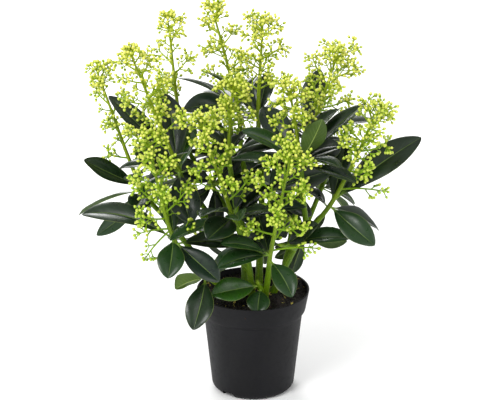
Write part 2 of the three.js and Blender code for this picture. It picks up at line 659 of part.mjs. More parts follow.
addPiece('pot', makePot(), 'pot');
addPiece('soil', makeSoil(), 'soil');

const rimBalls = 60;
const rimPoints = Array.from({ length: rimBalls }, (_, i) => {
  const bearing = (Math.PI * 2 * i) / rimBalls;
  return new THREE.Vector3(rimRadius * Math.cos(bearing), rimRadius * Math.sin(bearing), potHeight);
});
take('pot', 'pot', rimPoints, rimRoomRadius);

// Everything below the level that the stems are cut at.
const belowGround = new THREE.BoxGeometry(2 * rimRadius, 2 * rimRadius, potHeight);
belowGround.translate(0, 0, soilHeight + gap - potHeight / 2);
const ground = solidOf(belowGround);

// Limbs: each stops short of its mass, and each bough short of the limb that it springs from.
for (const shoot of shoots) {
  const { curve, whorlStart, whorlEnd } = paths.get(shoot.name);
  const end = shoot.tip ? 1 : whorlEnd;
  const balls = Math.ceil(curve.getLength() / roomSpacing);
  const points = evenStations(0, end, balls).map((t) => curve.getPoint(t));
  points.forEach((point, i) => {
    const radius = limbRadius(shoot, (i * end) / balls);
    take(`limb_${shoot.name}`, shoot.name, [point], radius + limbRoom);
  });
  if (!shoot.tip) continue;
  const whole = limbPiece(shoot, 0, whorlStart - shareOf(curve, whorlStart, gap), limbSteps, limbSides);
  const limb = whole.subtract(shoot.parent ? roomOfParent(shoot) : ground);
  addPiece(`${shoot.parent ? 'bough' : 'stem'}_${shoot.name}`, largestBody(limb), 'wood');
}

// The leaves that set the outline find their room first, then the flower heads, then the rest.
const leafSolids = new Map(shoots.map((shoot) => [shoot.name, []]));

for (const shoot of shoots) {
  const rows = outlineLeaves.filter((row) => row.shoot === shoot.name);
  rows.forEach((row, number) => {
    const share = 1 - (number + 0.5) / rows.length;
    const leaf = growLeaf(`leaves_${shoot.name}`, shoot.name, outlineTries,
      (turn, lift) => outlineLeaf(shoot, row, share, turn, lift));
    if (leaf) leafSolids.get(shoot.name).push(leaf);
  });
}

for (const shoot of shoots.filter((each) => each.tip)) {
  const { curve, whorlEnd } = paths.get(shoot.name);
  const owner = `flowers_${shoot.name}`;
  const axisStart = whorlEnd + shareOf(curve, whorlEnd, gap);
  const solids = [limbPiece(shoot, axisStart, 1, flowerAxisSteps, flowerAxisSides)];
  for (let number = 0; number < shoot.branches; number += 1) {
    solids.push(...sideBranch(shoot, number, owner));
  }
  solids.push(...topCluster(shoot, owner));
  addPiece(owner, joinAll(solids), 'flower');
}

for (const shoot of shoots) {
  const { whorlStart, whorlEnd } = paths.get(shoot.name);
  const owner = `leaves_${shoot.name}`;
  const draw = seededDraws(shoot.seed);
  let stem = limbPiece(shoot, whorlStart, whorlEnd, 1, limbSides);
  if (!shoot.tip) stem = largestBody(stem.subtract(roomOfParent(shoot)));
  const leaves = leafSolids.get(shoot.name);
  for (let number = 0; number < shoot.leaves; number += 1) {
    const drawn = drawLeaf(draw);
    const leaf = growLeaf(owner, shoot.name, ruleTries,
      (turn, lift) => ruleLeaf(shoot, number, drawn, turn, lift));
    if (leaf) leaves.push(leaf);
  }
  addPiece(owner, joinAll([stem, ...leaves]), 'leaf');
}

export default plant;
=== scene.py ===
"""The looks of a potted skimmia in bud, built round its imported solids.

The growth rule of the solids is written again here and carried on to finer stalks and buds. Growth
is worked out in millimetres, and every mesh goes to Blender in metres, in the frame of the solids.
"""

import functools
import math
from types import SimpleNamespace

import bmesh
import bpy
import numpy as np
from bpy.props import FloatProperty, FloatVectorProperty, IntProperty, PointerProperty
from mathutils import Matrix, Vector, noise


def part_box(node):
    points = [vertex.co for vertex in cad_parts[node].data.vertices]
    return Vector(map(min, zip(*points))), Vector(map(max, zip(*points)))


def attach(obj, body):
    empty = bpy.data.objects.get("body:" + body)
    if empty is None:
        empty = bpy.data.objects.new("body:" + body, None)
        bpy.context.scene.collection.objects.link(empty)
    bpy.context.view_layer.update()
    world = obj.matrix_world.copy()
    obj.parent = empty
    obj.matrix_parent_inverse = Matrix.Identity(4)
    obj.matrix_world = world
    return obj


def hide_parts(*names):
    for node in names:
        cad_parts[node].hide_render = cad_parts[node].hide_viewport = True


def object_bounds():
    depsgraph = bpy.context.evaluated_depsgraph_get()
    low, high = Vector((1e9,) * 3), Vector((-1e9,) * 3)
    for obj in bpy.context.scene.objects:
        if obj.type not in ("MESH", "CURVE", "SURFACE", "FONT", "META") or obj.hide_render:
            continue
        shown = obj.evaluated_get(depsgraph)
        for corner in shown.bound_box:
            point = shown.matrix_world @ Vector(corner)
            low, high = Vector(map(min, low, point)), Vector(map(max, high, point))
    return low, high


bl_info = {
    "name": "Potted Skimmia",
    "version": (1, 0, 0),
    "blender": (4, 5, 0),
    "location": "View3D > Sidebar > Skimmia",
    "description": "Builds a skimmia in bud in its nursery pot, round its packed solids",
    "category": "Add Mesh",
}

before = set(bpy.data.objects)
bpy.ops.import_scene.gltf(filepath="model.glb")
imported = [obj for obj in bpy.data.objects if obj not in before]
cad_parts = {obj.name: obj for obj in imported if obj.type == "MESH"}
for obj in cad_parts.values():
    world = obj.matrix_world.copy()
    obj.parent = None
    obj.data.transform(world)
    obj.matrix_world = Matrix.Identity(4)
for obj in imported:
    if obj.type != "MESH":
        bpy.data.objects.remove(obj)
cad_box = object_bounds()

MM = 0.001
UV_MAP = "OFBake"

# ---- The pot and the soil ----

POT_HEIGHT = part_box("pot")[1].z / MM
RIM_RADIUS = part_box("pot")[1].x / MM
BAND_HEIGHT = 24.5                # of the band under the rim
BAND_FOOT_RADIUS = 60.5
STEP_HEIGHT = 3.0                 # of the step under the band
SHOULDER_RADIUS = 57.0
FOOT_RADIUS = 48.0
FOOT_ROUND = 8.0
WALL = 2.0
FLOOR = 7.0
NOTCHES = 3
NOTCH_BEARING = -129.0
NOTCH_WIDTH = 16.0
NOTCH_HEIGHT = 6.0
NOTCH_DEPTH = 12.0
NOTCH_ROUND = 1.5

GAP = 0.3                         # between the soil and the pot
SOIL_EDGE = 113.0
SOIL_HEIGHT = 118.0
SOIL_LEVEL_RADIUS = 26.0
SOIL_LUMP = 3.0
SOIL_CRUMB = 5.0                  # width of the small lumps that roughen its surface
SOIL_FRACTAL = (1.0, 2.0, 4)      # how fast finer ones fade, the step in size, and how many sizes
HEAP = SimpleNamespace(at=(42.0, 30.0), height=13.0, spread=16.0)

# ---- The limbs ----

STEM_SUNK = 8.0                   # how far below the soil's level a stem starts
STEM_FOOT_RADIUS = 4.2
STEM_FLARE = 1.6
FLARE_SHARE = 0.05
BOUGH_FOOT_RADIUS = 3.4
WHORL_RADIUS = 2.6
TIP_RADIUS = 1.0
WHORL_BELOW = 14.0                # the leafy stretch of a shoot, below its whorl and above it
WHORL_ABOVE = 6.0
PATH_PAST_WHORL = 0.6
PATH_STEP = 1e-4
CURVE_PARTS = 200

# ---- The leaves ----

LEAF_ROOM_ABOVE = 7.0
LOWEST_LEAF = 3.0
LEAF_FOLD = 18.0                  # how far each half of a blade is folded up along the midrib
BLADE_SKEW, BLADE_ROUNDING = 1.2, 0.7
FULL_HALF_WIDTH = 0.25            # where the form of a blade one wide is full
PETIOLE_SHARE = 0.1
PETIOLE_HALF_WIDTH = 1.3
ROOT_OFFSET = 0.9
LEAN_LOW = 105.0                  # of the lowest leaf of a shoot, and of the highest
LEAN_HIGH = 52.0
# Draws are a middle value and the most that it varies either way.
LEAF_DRAWS = {"turn": (0, 14), "lean": (0, 9), "size": (0.9, 0.12), "slimness": (0.36, 0.03),
              "bend": (28, 12)}
GOLDEN_ANGLE = 137.508
REAR_FROM = 20.0                  # flower heads whose tips lie further back are the rear ones

# ---- The flower heads ----

BUD_LENGTH = 12.0                 # of each small cluster of buds
BUDS_BESIDE = 2
BESIDE_LEAN = (66.0, 8.0)
BUD_SUNK = 1.2
TOP_BUDS = 3
TOP_BUD_LENGTH = 13.0
TOP_ROOT = 0.99
TOP_BEND = 1.0                    # nearly straight, as an arc has to bend a little
BRANCH_LEAN_LOW = 64.0
BRANCH_LEAN_HIGH = 42.0
BRANCH_LEAN_SPREAD = 7.0
BRANCH_TURN_SPREAD = 16.0
BRANCH_BEND = -22.0
BRANCH_TOP_SHARE = 0.62           # length of the highest side branch, by that of the lowest
BRANCH_SIZE = (0.92, 0.12)
BRANCHES_END = 0.96
BRANCH_SHIFT = 0.25
BUD_WIDEST = 0.4

# Finer stalks and single buds, which the solids leave out. Radii are those of a stalk's two ends.
BUD_REACH = 7.0                   # from a twig's last fork to the far end of the bud that ends it
BUD_ROUND = 1.8                   # half of a bud's width, and the room that it takes
BUD_TRIES = ((0, 0), (0.6, 0), (-0.6, 0), (0, 18), (1.1, -12), (-1.1, -12))
BUD_UPTURN = 0.15                 # how far a bud turns from its pedicel towards its twig
END_BUDS = 2                      # beside the bud that ends a twig
END_BUD_LEAN = 4.0                # of that bud, which stands almost in line with its twig
END_PEDICEL = (2.9, 0.5)
PEDICEL = (5.0, 1.0)
PEDICEL_LEAN = (52.0, 10.0)
PEDICEL_BEND = -24.0
PEDICEL_RADII = (0.64, 0.56)
NODE_AT = 0.16                    # share of a cluster's arc where it has a lower pair of buds
NODE_TURN_SPREAD = 0.3
CLUSTER_RADIUS = 0.88             # at the foot of each kind of twig
TWIG_RADIUS = 0.8
BRANCH_END_RADIUS = 0.7
SPRAY_END_RADIUS = 0.6
FORK_RADIUS = 0.68                # at the last fork of all of them
BRANCH_RADII = (1.2, 0.88)
BRANCH_ROOM = 0.8
BRANCH_ROOM_SHARES = np.linspace(0.15, 0.9, 20)
TWIG_ROOM_SHARES = np.array([0.6, 0.8, 1.0])
TWIG_FINE_ROOM = 1.2
TWIG_START = 9.0                  # from the root of a side branch to its first twig
TWIG_END = 7.0                    # and from its last twig to its end, at least
TWIG_SPACING = 5.4
TWIG_LENGTHS = (15.0, 10.5)
TWIG_LENGTH_SPREAD = 0.15
TWIG_LEAN = 50.0
TWIG_LEAN_SPREAD = 8.0
AXIS_TWIGS = 13
AXIS_TWIGS_AT = (0.34, 0.985)     # shares of the flower axis
AXIS_TWIG_LENGTHS = (19.0, 12.5)
DOME_TWIGS = 16                   # of the rounded top of a head
DOME_AT = (0.9, 0.99)
DOME_LEANS = (80.0, 14.0)
DOME_LENGTHS = (18.0, 15.0)
LIMB_FINE_ROOM = 2.0

# Long, thin sprays of few buds, most of them at the foot of a head: share of the flower axis,
# bearing, rise and length.
SPRAYS = {
    "front_left": ((0.04, -169, -7, 42), (0.02, -155, -44, 46), (-0.07, -34, 27, 36)),
    "front_right": ((-0.05, 4, 1, 56),),
    "right": ((0.09, -6, -2, 57), (0.32, -38, -14, 26), (0.23, -155, 36, 46), (0.5, -105, 30, 32),
              (0.56, -45, 35, 32), (0.62, -165, 42, 32), (0.68, -75, 50, 30), (0.74, 10, 45, 28),
              (0.8, 190, 55, 26)),
    "top_middle": ((0.23, -9, 23, 41),),
    "upper_left": ((0.43, -44, 46, 24),),
}
SPRAY_BEND = 22.0
SPRAY_RADII = (1.15, 0.85)
SPRAY_TWIGS_FROM = 0.5            # share of a spray that is bare
SPRAY_END_BARE = 0.06             # share between its last twig and the cluster at its end
SPRAY_TWIG_SPACING = 7.0
SPRAY_TWIG_LENGTHS = (15.0, 11.0)

# The leaves that come last: how many each mass gets, where there is room.
FILL_LEAVES = {
    "front_middle": 2, "top_middle": 5, "rear_middle": 8, "far_left": 1, "upper_left": 3,
    "back_left": 6, "top_left": 6, "middle": 7, "upper_right": 4, "inner_right": 4, "rear_left": 6,
    "rear_right": 6, "rear_far_right": 4, "low_rear_left": 4, "low_rear_right": 3, "low_rear": 4,
    "centre": 8, "centre_left": 8,
}
FILL_TRIED = 18
FILL_PAST = 6.0                   # how far they may reach past the box of their mass
FILL_LOWEST = 124.0
FILL_DRAWS = {"turn": (40, 60), "lean": (0, 14), "size": (0.74, 0.16), "slimness": (0.36, 0.03),
              "bend": (28, 14)}
SHADED_WITHIN = 125.0             # those that end this near to the pot's axis get little light

# ---- Room for twigs and leaves ----

ROOM_SPACING = 4.0
LIMB_ROOM = 1.2
LEAF_ROOM = 2.8
TWIG_ROOM = 1.8
BUD_ROOM = 3.6
RIM_ROOM = 3.0
RIM_BALLS = 60
LEAF_ROWS = 12
LEAF_FIRST_ROW = 2                # the rows below it lie in the leaf's own stem
ROOT_ROWS = 2
LEAF_COLUMNS = (-1, -0.5, 0, 0.5, 1)
# Small turns and lifts, in degrees, that a leaf tries in order.
OUTLINE_TRIES = ((0, 0), (0, -10), (12, 0), (-12, 0), (0, 12), (18, -10), (-18, -10), (0, -24))
RULE_TRIES = (*OUTLINE_TRIES, (32, 0), (-32, 0), (48, 8), (-48, 8), (66, -6), (-66, -6))

FINE_MARGIN = 20.0
FINE_ROWS = 40
FINE_FIRST_ROW = 4
FINE_COLUMNS = np.linspace(-1, 1, 13)
FINE_LEAF_ROOM = 1.3
BLADE_ROOM = 1.0

# ---- The shoots and their leaves ----

# Each shoot runs through its foot, knee, whorl and tip. Its foot is a place in the soil, for a
# stem, or its parent and a share of the parent's path. One without a knee and a tip has leaves but
# no flowers. Reach is the length of its lowest side branches, and bare the share of its flower axis
# below them.
SHOOT_KEYS = ("name", "foot", "whorl", "leaves", "leaf_length", "turn",
              "knee", "tip", "reach", "branches", "bare")
SHOOT_ROWS = (
    ("front_left", (-10, -8), (-90, -58, 210), 1, 84, 90,
     (-54, -36, 154), (-115, -74, 329), 50, 12, 0.04),
    ("front_middle", (0, -17), (-25, -46, 234), 5, 84, 20,
     (-8, -28, 180), (-57, -70, 347), 46, 10, 0.06),
    ("front_right", (12, -16), (20, -60, 192), 2, 76, 60,
     (17, -38, 152), (41, -88, 318), 50, 12, 0.06),
    ("right", (20, -3), (91, -14, 236), 2, 84, 10,
     (49, -8, 177), (139, -28, 348), 48, 11, 0.14),
    ("top_middle", (6, 6), (6, 50, 317), 5, 80, 10,
     (10, 24, 233), (11, 60, 419), 46, 10, 0.1),
    ("rear_middle", (-8, 14), (-22, 104, 242), 7, 90, 50,
     (-14, 60, 190), (-30, 150, 318), 36, 6, 0.1),
    ("far_left", ("front_left", 0.2), (-130, 20, 243), 3, 80, 40,
     (-96, 2, 202), (-175, 32, 371), 36, 9, 0.12),
    ("upper_left", ("front_middle", 0.2), (-87, -6, 277), 3, 84, 0,
     (-64, -12, 224), (-134, -14, 405), 45, 11, 0.26),
    ("back_left", ("top_middle", 0.12), (-81, 72, 284), 5, 82, 90,
     (-48, 52, 228), (-97, 82, 417), 40, 6, 0.24),
    ("top_left", ("top_middle", 0.22), (-18, 74, 318), 5, 80, 45,
     (-12, 50, 258), (-46, 88, 428), 40, 9, 0.14),
    ("middle", ("front_middle", 0.42), (-27, -6, 292), 5, 78, 70,
     (-22, -10, 245), (-23, 0, 363), 42, 8, 0.1),
    ("upper_right", ("right", 0.2), (66, 24, 302), 3, 84, 100,
     (54, 12, 239), (94, 30, 391), 54, 11, 0.12),
    ("inner_right", ("right", 0.44), (52, -20, 290), 4, 76, 30,
     (56, -18, 240), (40, -26, 370), 34, 7, 0.26),
    ("rear_left", ("rear_middle", 0.18), (-88, 104, 232), 7, 82, 20,
     (-58, 80, 190), (-112, 132, 306), 34, 5, 0.1),
    ("rear_right", ("rear_middle", 0.12), (54, 102, 238), 6, 88, 0,
     (30, 72, 190), (80, 138, 312), 34, 5, 0.1),
    ("rear_far_right", ("right", 0.12), (84, 68, 230), 5, 62, 40,
     (61, 40, 182), (114, 90, 298), 30, 4, 0.1),
    ("low_left", ("front_left", 0.3), (-54, -52, 157), 1, 62, 60),
    ("low_front", ("front_right", 0.1), (6, -34, 141.5), 1, 60, 150),
    ("low_right", ("right", 0.32), (32, -31, 187), 1, 70, 150),
    ("low_rear_left", ("rear_left", 0.3), (-62, 64, 156), 4, 74, 100),
    ("low_rear_right", ("rear_far_right", 0.3), (62, 54, 160), 4, 58, 100),
    ("low_rear", ("rear_middle", 0.22), (2, 66, 182), 4, 70, 70),
    ("centre", ("top_middle", 0.33), (18, 2, 238), 5, 80, -70),
    ("centre_left", ("back_left", 0.34), (-42, 36, 236), 5, 80, -110),
)
FIRST_SEED = 11
SHOOTS = [dict(zip(SHOOT_KEYS, row), seed=seed) for seed, row in enumerate(SHOOT_ROWS, FIRST_SEED)]

DEEP, BLUISH, MID, FRESH, SUNLIT, SHADED = range(6)

# The leaves that set the crown's outline: shoot, bearing and rise of the straight line to the tip,
# length, width, how far the upper side leans from straight up to the front, bend, and tint.
OUTLINE_LEAVES = (
    ("far_left", -162, 31, 76, 28, 35, -8, DEEP),
    ("far_left", 159, -47, 88, 23, 50, -30, MID),
    ("far_left", -105, -7, 42, 28, 50, 20, DEEP),
    ("front_left", -96, -34, 54, 32, 30, 20, MID),
    ("front_left", 160, 8, 116, 34, 22, 50, DEEP),
    ("front_left", -24, -36, 66, 30, 40, 24, BLUISH),
    ("front_left", 27, -10, 76, 28, 30, 24, DEEP),
    ("front_middle", -117, -5, 60, 37, 42, 26, DEEP),
    ("upper_left", 109, 67, 84, 34, 0, 16, BLUISH),
    ("upper_left", 159, 42, 112, 30, 20, 16, BLUISH),
    ("upper_left", -70, -50, 64, 38, 40, 20, BLUISH),
    ("upper_left", 72, 42, 62, 26, 0, 20, FRESH),
    ("upper_left", -172, 42, 66, 30, 50, 20, DEEP),
    ("low_front", -154, 0, 60, 31, 45, 24, FRESH),
    ("low_front", -86, -36, 34, 28, 20, 14, MID),
    ("low_left", -106, -43, 65, 33, 50, 20, DEEP),
    ("low_left", -179, -22, 38, 34, -50, 20, SUNLIT),
    ("front_right", -156, -4, 64, 28, 25, 34, MID),
    ("front_right", -60, -28, 56, 28, 40, 20, MID),
    ("right", 17, 32, 124, 36, 45, 20, DEEP),
    ("right", 66, 54, 72, 28, 0, 16, DEEP),
    ("right", -36, -29, 70, 32, 50, 30, MID),
    ("right", 117, 0, 76, 24, -20, 24, BLUISH),
    ("low_right", -8, 10, 78, 30, 20, 40, MID),
    ("low_right", -31, 40, 54, 26, 40, 20, DEEP),
    ("upper_right", 75, 56, 82, 30, 0, 14, BLUISH),
    ("inner_right", 128, 32, 80, 34, 35, 20, BLUISH),
    ("inner_right", -44, 60, 64, 28, -75, -30, FRESH),
    ("inner_right", 22, 37, 98, 26, 8, 24, DEEP),
    ("inner_right", -160, 34, 84, 28, 30, 26, MID),
    ("inner_right", 35, 15, 56, 30, 45, 20, BLUISH),
    ("top_middle", 70, 52, 52, 26, 0, 10, BLUISH),
    ("top_middle", 118, 38, 50, 26, 0, 16, BLUISH),
    ("top_left", -148, 12, 78, 32, 40, 60, BLUISH),
)


# ---- Vectors and seeded draws ----


def unit(vector):
    return vector / np.linalg.norm(vector)


def mix(low, high, share):
    return low + (high - low) * share


def turned(bearing, rise):
    """The direction at a bearing from +X towards +Y and a rise, in degrees."""
    bearing, rise = math.radians(bearing), math.radians(rise)
    return np.array([math.cos(bearing) * math.cos(rise), math.sin(bearing) * math.cos(rise),
                     math.sin(rise)])


def golden_turns(count, start=0.0):
    """Bearings round a shoot, each a golden angle on from the last."""
    return start + math.radians(GOLDEN_ANGLE) * np.arange(count)


def round_turns(count):
    """Bearings spaced evenly once round."""
    return 2 * math.pi * np.arange(count) / count


DRAW_RANGE, DRAW_FACTOR = 2147483647, 16807
SEED_FACTOR, SEED_SHIFT = 7919, 12345
# Each shoot has seeds of its own for its side branches and its top, its fine stalks and its leaves.
BRANCH_SEEDS, TOP_SEED = 100, 99
FINE_SEEDS, FINE_SEED = 50, 7
FILL_SEED = 500
LEAF_FORM_SEED = 77


def seeded_draws(seed):
    """A stream of numbers from 0 to 1 that is the same for the same seed."""
    state = (seed * SEED_FACTOR + SEED_SHIFT) % DRAW_RANGE

    def draw():
        nonlocal state
        state = state * DRAW_FACTOR % DRAW_RANGE
        return state / DRAW_RANGE

    draw()
    draw()
    return draw


def around(draw, middle, spread):
    return middle + (2 * draw() - 1) * spread


# ---- The shoots' paths ----


class Path:
    """A smooth curve through a shoot's foot, knee, whorl and tip, a third of its shares apart."""

    def __init__(self, shoot, foot, is_stem):
        self.shoot = shoot
        self.is_stem = is_stem
        self.has_head = "tip" in shoot
        whorl = np.array(shoot["whorl"], float)
        knee = np.array(shoot["knee"], float) if self.has_head else (foot + whorl) / 2
        tip = np.array(shoot["tip"], float) if self.has_head else mix(whorl, knee, -PATH_PAST_WHORL)
        self.points = [2 * foot - knee, foot, knee, whorl, tip, 2 * tip - whorl]
        self.leaf_start = (2 - WHORL_BELOW / np.linalg.norm(knee - whorl)) / 3
        self.whorl_start = self.leaf_start if self.has_head else 0.0
        self.whorl_end = (2 + WHORL_ABOVE / np.linalg.norm(whorl - tip)) / 3
        self.end = 1 if self.has_head else self.whorl_end

    def at(self, t):
        part = min(int(t * 3), 2)
        before, start, end, after = self.points[part:part + 4]
        leave = (end - before) / 2
        arrive = (after - start) / 2
        weight = t * 3 - part
        square = 3 * (end - start) - 2 * leave - arrive
        cube = 2 * (start - end) + leave + arrive
        return start + leave * weight + square * weight ** 2 + cube * weight ** 3

    def points_at(self, shares):
        return np.array([self.at(t) for t in shares])

    def pace(self, t):
        near = min(max(t, PATH_STEP), 1 - PATH_STEP)
        return (self.at(near + PATH_STEP) - self.at(near - PATH_STEP)) / (2 * PATH_STEP)

    def direction(self, t):
        return unit(self.pace(t))

    def share_of(self, t, length):
        """The share of the path that a length takes at t."""
        return length / np.linalg.norm(self.pace(t))

    def length(self):
        points = self.points_at([i / CURVE_PARTS for i in range(CURVE_PARTS + 1)])
        return float(np.linalg.norm(np.diff(points, axis=0), axis=1).sum())

    def radius(self, t):
        """The limb's radius. Its whorl is at two thirds of the shares."""
        foot = STEM_FOOT_RADIUS if self.is_stem else BOUGH_FOOT_RADIUS
        flare = STEM_FLARE * math.exp(-t / FLARE_SHARE) if self.is_stem else 0
        lower = mix(foot, WHORL_RADIUS, min(1, 1.5 * t))
        return mix(lower, TIP_RADIUS, max(0, 3 * t - 2)) + flare


def make_paths():
    paths = {}
    for shoot in SHOOTS:
        start, share = shoot["foot"]
        is_stem = start not in paths
        soil_place = np.array([start, share, SOIL_HEIGHT - STEM_SUNK], float) if is_stem else None
        foot = soil_place if is_stem else paths[start].at(share)
        paths[shoot["name"]] = Path(shoot, foot, is_stem)
    return paths


class Arc:
    """An arc from a root whose straight line to the tip runs in a direction."""

    def __init__(self, root, direction, upper_hint, length, bend):
        self.root = root
        self.ahead = direction
        self.across = unit(np.cross(direction, upper_hint))
        self.upper = np.cross(self.across, direction)
        self.length = length
        self.turn = math.radians(bend)

    def at(self, share):
        """The point at a share of the arc, or at many shares, and the upper side's normal there."""
        angle = self.turn / 2 - self.turn * np.asarray(share, float)[..., None]
        scale = self.length / self.turn
        ahead = scale * (math.sin(self.turn / 2) - np.sin(angle))
        rise = scale * (np.cos(angle) - math.cos(self.turn / 2))
        middle = self.root + self.ahead * ahead + self.upper * rise
        return middle, self.upper * np.cos(angle) - self.ahead * np.sin(angle)

    def end_at(self, share):
        """The point at a share of the arc, and the way that the arc runs there."""
        point, normal = self.at(share)
        return point, np.cross(normal, self.across)


def leaning_direction(axis, bearing, lean):
    """The direction that leans from an axis, at a bearing round it from +X, in radians."""
    side = unit(np.array([1.0, 0, 0]) - axis * axis[0])
    back = np.cross(axis, side)
    outward = side * math.cos(bearing) + back * math.sin(bearing)
    return axis * math.cos(lean) + outward * math.sin(lean)


# ---- Room ----


class Room:
    """Balls that mark the room that each piece already takes."""

    def __init__(self):
        self.places = np.empty((0, 3))
        self.radii = np.empty(0)
        self.owners = np.empty(0, object)
        self.shoots = np.empty(0, object)
        self.outer = np.empty(0, bool)

    def take(self, owner, shoot, points, radii, outer=False):
        count = len(points)
        self.places = np.vstack([self.places, points])
        self.radii = np.append(self.radii, np.broadcast_to(radii, count))
        self.owners = np.append(self.owners, np.full(count, owner, object))
        self.shoots = np.append(self.shoots, np.full(count, shoot, object))
        self.outer = np.append(self.outer, np.broadcast_to(outer, count))

    def is_free(self, owner, shoot, points, radius, near_root, outer=False):
        """Whether points touch nothing. Those near the root may lie close to their own shoot, and
        pieces of one owner to each other, but for their outer parts."""
        reach = radius + self.radii.max()
        low, high = points.min(0) - reach, points.max(0) + reach
        close = np.all((self.places > low) & (self.places < high), axis=1)
        gaps = np.linalg.norm(points[:, None] - self.places[None, close], axis=2)
        touching = gaps <= self.radii[close] + radius
        outer = np.broadcast_to(outer, len(points))
        both_outer = self.outer[close][None] & outer[:, None]
        own_piece = (self.owners[close] == owner)[None] & ~both_outer
        own_shoot = (self.shoots[close] == shoot)[None] & np.asarray(near_root)[:, None]
        return not (touching & ~own_piece & ~own_shoot).any()


class FineRoom:
    """A grid of cells 1 mm wide that marks what is taken, for buds and the leaves that come last."""

    def __init__(self):
        self.low = np.array(cad_box[0]) / MM - FINE_MARGIN
        size = np.array(cad_box[1]) / MM + FINE_MARGIN - self.low
        self.full = np.zeros(size.astype(int) + 1, bool)

    def cells(self, points, radius):
        """The cells within a radius of any of the points."""
        steps = np.arange(-int(radius), int(radius) + 1)
        ball = np.stack(np.meshgrid(steps, steps, steps), -1).reshape(-1, 3)
        ball = ball[np.linalg.norm(ball, axis=1) <= radius]
        spots = (points[:, None] - self.low + ball).reshape(-1, 3).astype(int)
        return tuple(np.clip(spots, 0, np.array(self.full.shape) - 1).T)

    def take(self, points, radius):
        self.full[self.cells(points, radius)] = True

    def is_free(self, points, radius):
        return not self.full[self.cells(points, radius)].any()


# ---- Leaves as blades on arcs ----


def blade_profile(share):
    """Half the width of a blade at each share of its length, for a blade one wide."""
    along = np.clip((share - PETIOLE_SHARE) / (1 - PETIOLE_SHARE), 0, 1)
    return 0.5 * np.sin(math.pi * along ** BLADE_SKEW) ** BLADE_ROUNDING


def half_widths(leaf, share):
    petiole = np.where(share < 1, PETIOLE_HALF_WIDTH, 0)
    return np.maximum(np.nan_to_num(blade_profile(share)) * leaf.width, petiole)


def fullness(leaf, half):
    """How much of its full form a blade has: less towards its thin ends."""
    return np.minimum(1, half / leaf.width / FULL_HALF_WIDTH)


def blade_points(leaf, share, side):
    """Points of the blade, side from -1 on one edge to 1 on the other."""
    half = half_widths(leaf, share)
    middle, normal = leaf.arc.at(share)
    fold = math.radians(LEAF_FOLD) * fullness(leaf, half)
    out = (side * half * np.cos(fold))[..., None] * leaf.arc.across
    return middle + out + (np.abs(side) * half * np.sin(fold))[..., None] * normal


def blade_grid(leaf, first, rows, columns):
    """Points of the blade row by row, from one of its rows to the tip."""
    shares = np.repeat(np.arange(first, rows + 1) / rows, len(columns))
    return blade_points(leaf, shares, np.tile(columns, rows - first + 1))


def leaf_seat(path, share):
    """A point of the leafy stem, and its direction there."""
    start = max(path.leaf_start, 0)
    first = start + path.share_of(start, LOWEST_LEAF)
    last = path.whorl_end - path.share_of(path.whorl_end, LEAF_ROOM_ABOVE)
    t = mix(first, last, share)
    return path.at(t), path.direction(t)


def outline_leaf(path, row, share, turn, lift):
    _, bearing, rise, length, width, facing, bend, tint = row
    direction = turned(bearing + turn, rise + lift)
    lean = math.radians(facing)
    upper = np.array([0, -math.sin(lean), math.cos(lean)])
    root = leaf_seat(path, share)[0] + direction * ROOT_OFFSET
    return SimpleNamespace(arc=Arc(root, direction, upper, length, bend), width=width, tint=tint)


def rule_leaf(path, number, drawn, turn, lift, count=None):
    shoot = path.shoot
    share = (number + 0.5) / (count or shoot["leaves"])
    point, axis = leaf_seat(path, share)
    bearing = math.radians(shoot["turn"] + GOLDEN_ANGLE * number + drawn["turn"] + turn)
    lean = math.radians(mix(LEAN_LOW, LEAN_HIGH, share) + drawn["lean"] - lift)
    length = shoot["leaf_length"] * drawn["size"]
    direction = leaning_direction(axis, bearing, lean)
    arc = Arc(point + direction * ROOT_OFFSET, direction, axis, length, drawn["bend"])
    return SimpleNamespace(arc=arc, width=length * drawn["slimness"], tint=None)


def grow_leaf(room, name, tries, make_leaf):
    """The leaf that finds room, after small turns of its bearing and rise, or none."""
    for turn, lift in tries:
        leaf = make_leaf(turn, lift)
        points = blade_grid(leaf, LEAF_FIRST_ROW, LEAF_ROWS, LEAF_COLUMNS)
        outer = np.arange(len(points)) >= ROOT_ROWS * len(LEAF_COLUMNS)
        if room.is_free("leaves_" + name, name, points, LEAF_ROOM, ~outer, outer):
            room.take("leaves_" + name, name, points, LEAF_ROOM, outer)
            return leaf
    return None


# ---- Flower heads ----


def clusters_round(room, name, seat, direction, count, turn, draw):
    """Axes of the small clusters round the one that ends a twig."""
    owner = "flowers_" + name
    clusters = []
    for bearing in turn + round_turns(count):
        spread = leaning_direction(direction, bearing, math.radians(around(draw, *BESIDE_LEAN)))
        length = BUD_LENGTH * around(draw, 1, BRANCH_SIZE[1])
        root = seat + spread * BUD_SUNK
        tip = root + spread * length
        if room.is_free(owner, name, tip[None], BUD_ROOM, [False]):
            room.take(owner, name, tip[None], BUD_ROOM)
            clusters.append(Arc(root, spread, direction, length, BRANCH_BEND))
    return clusters


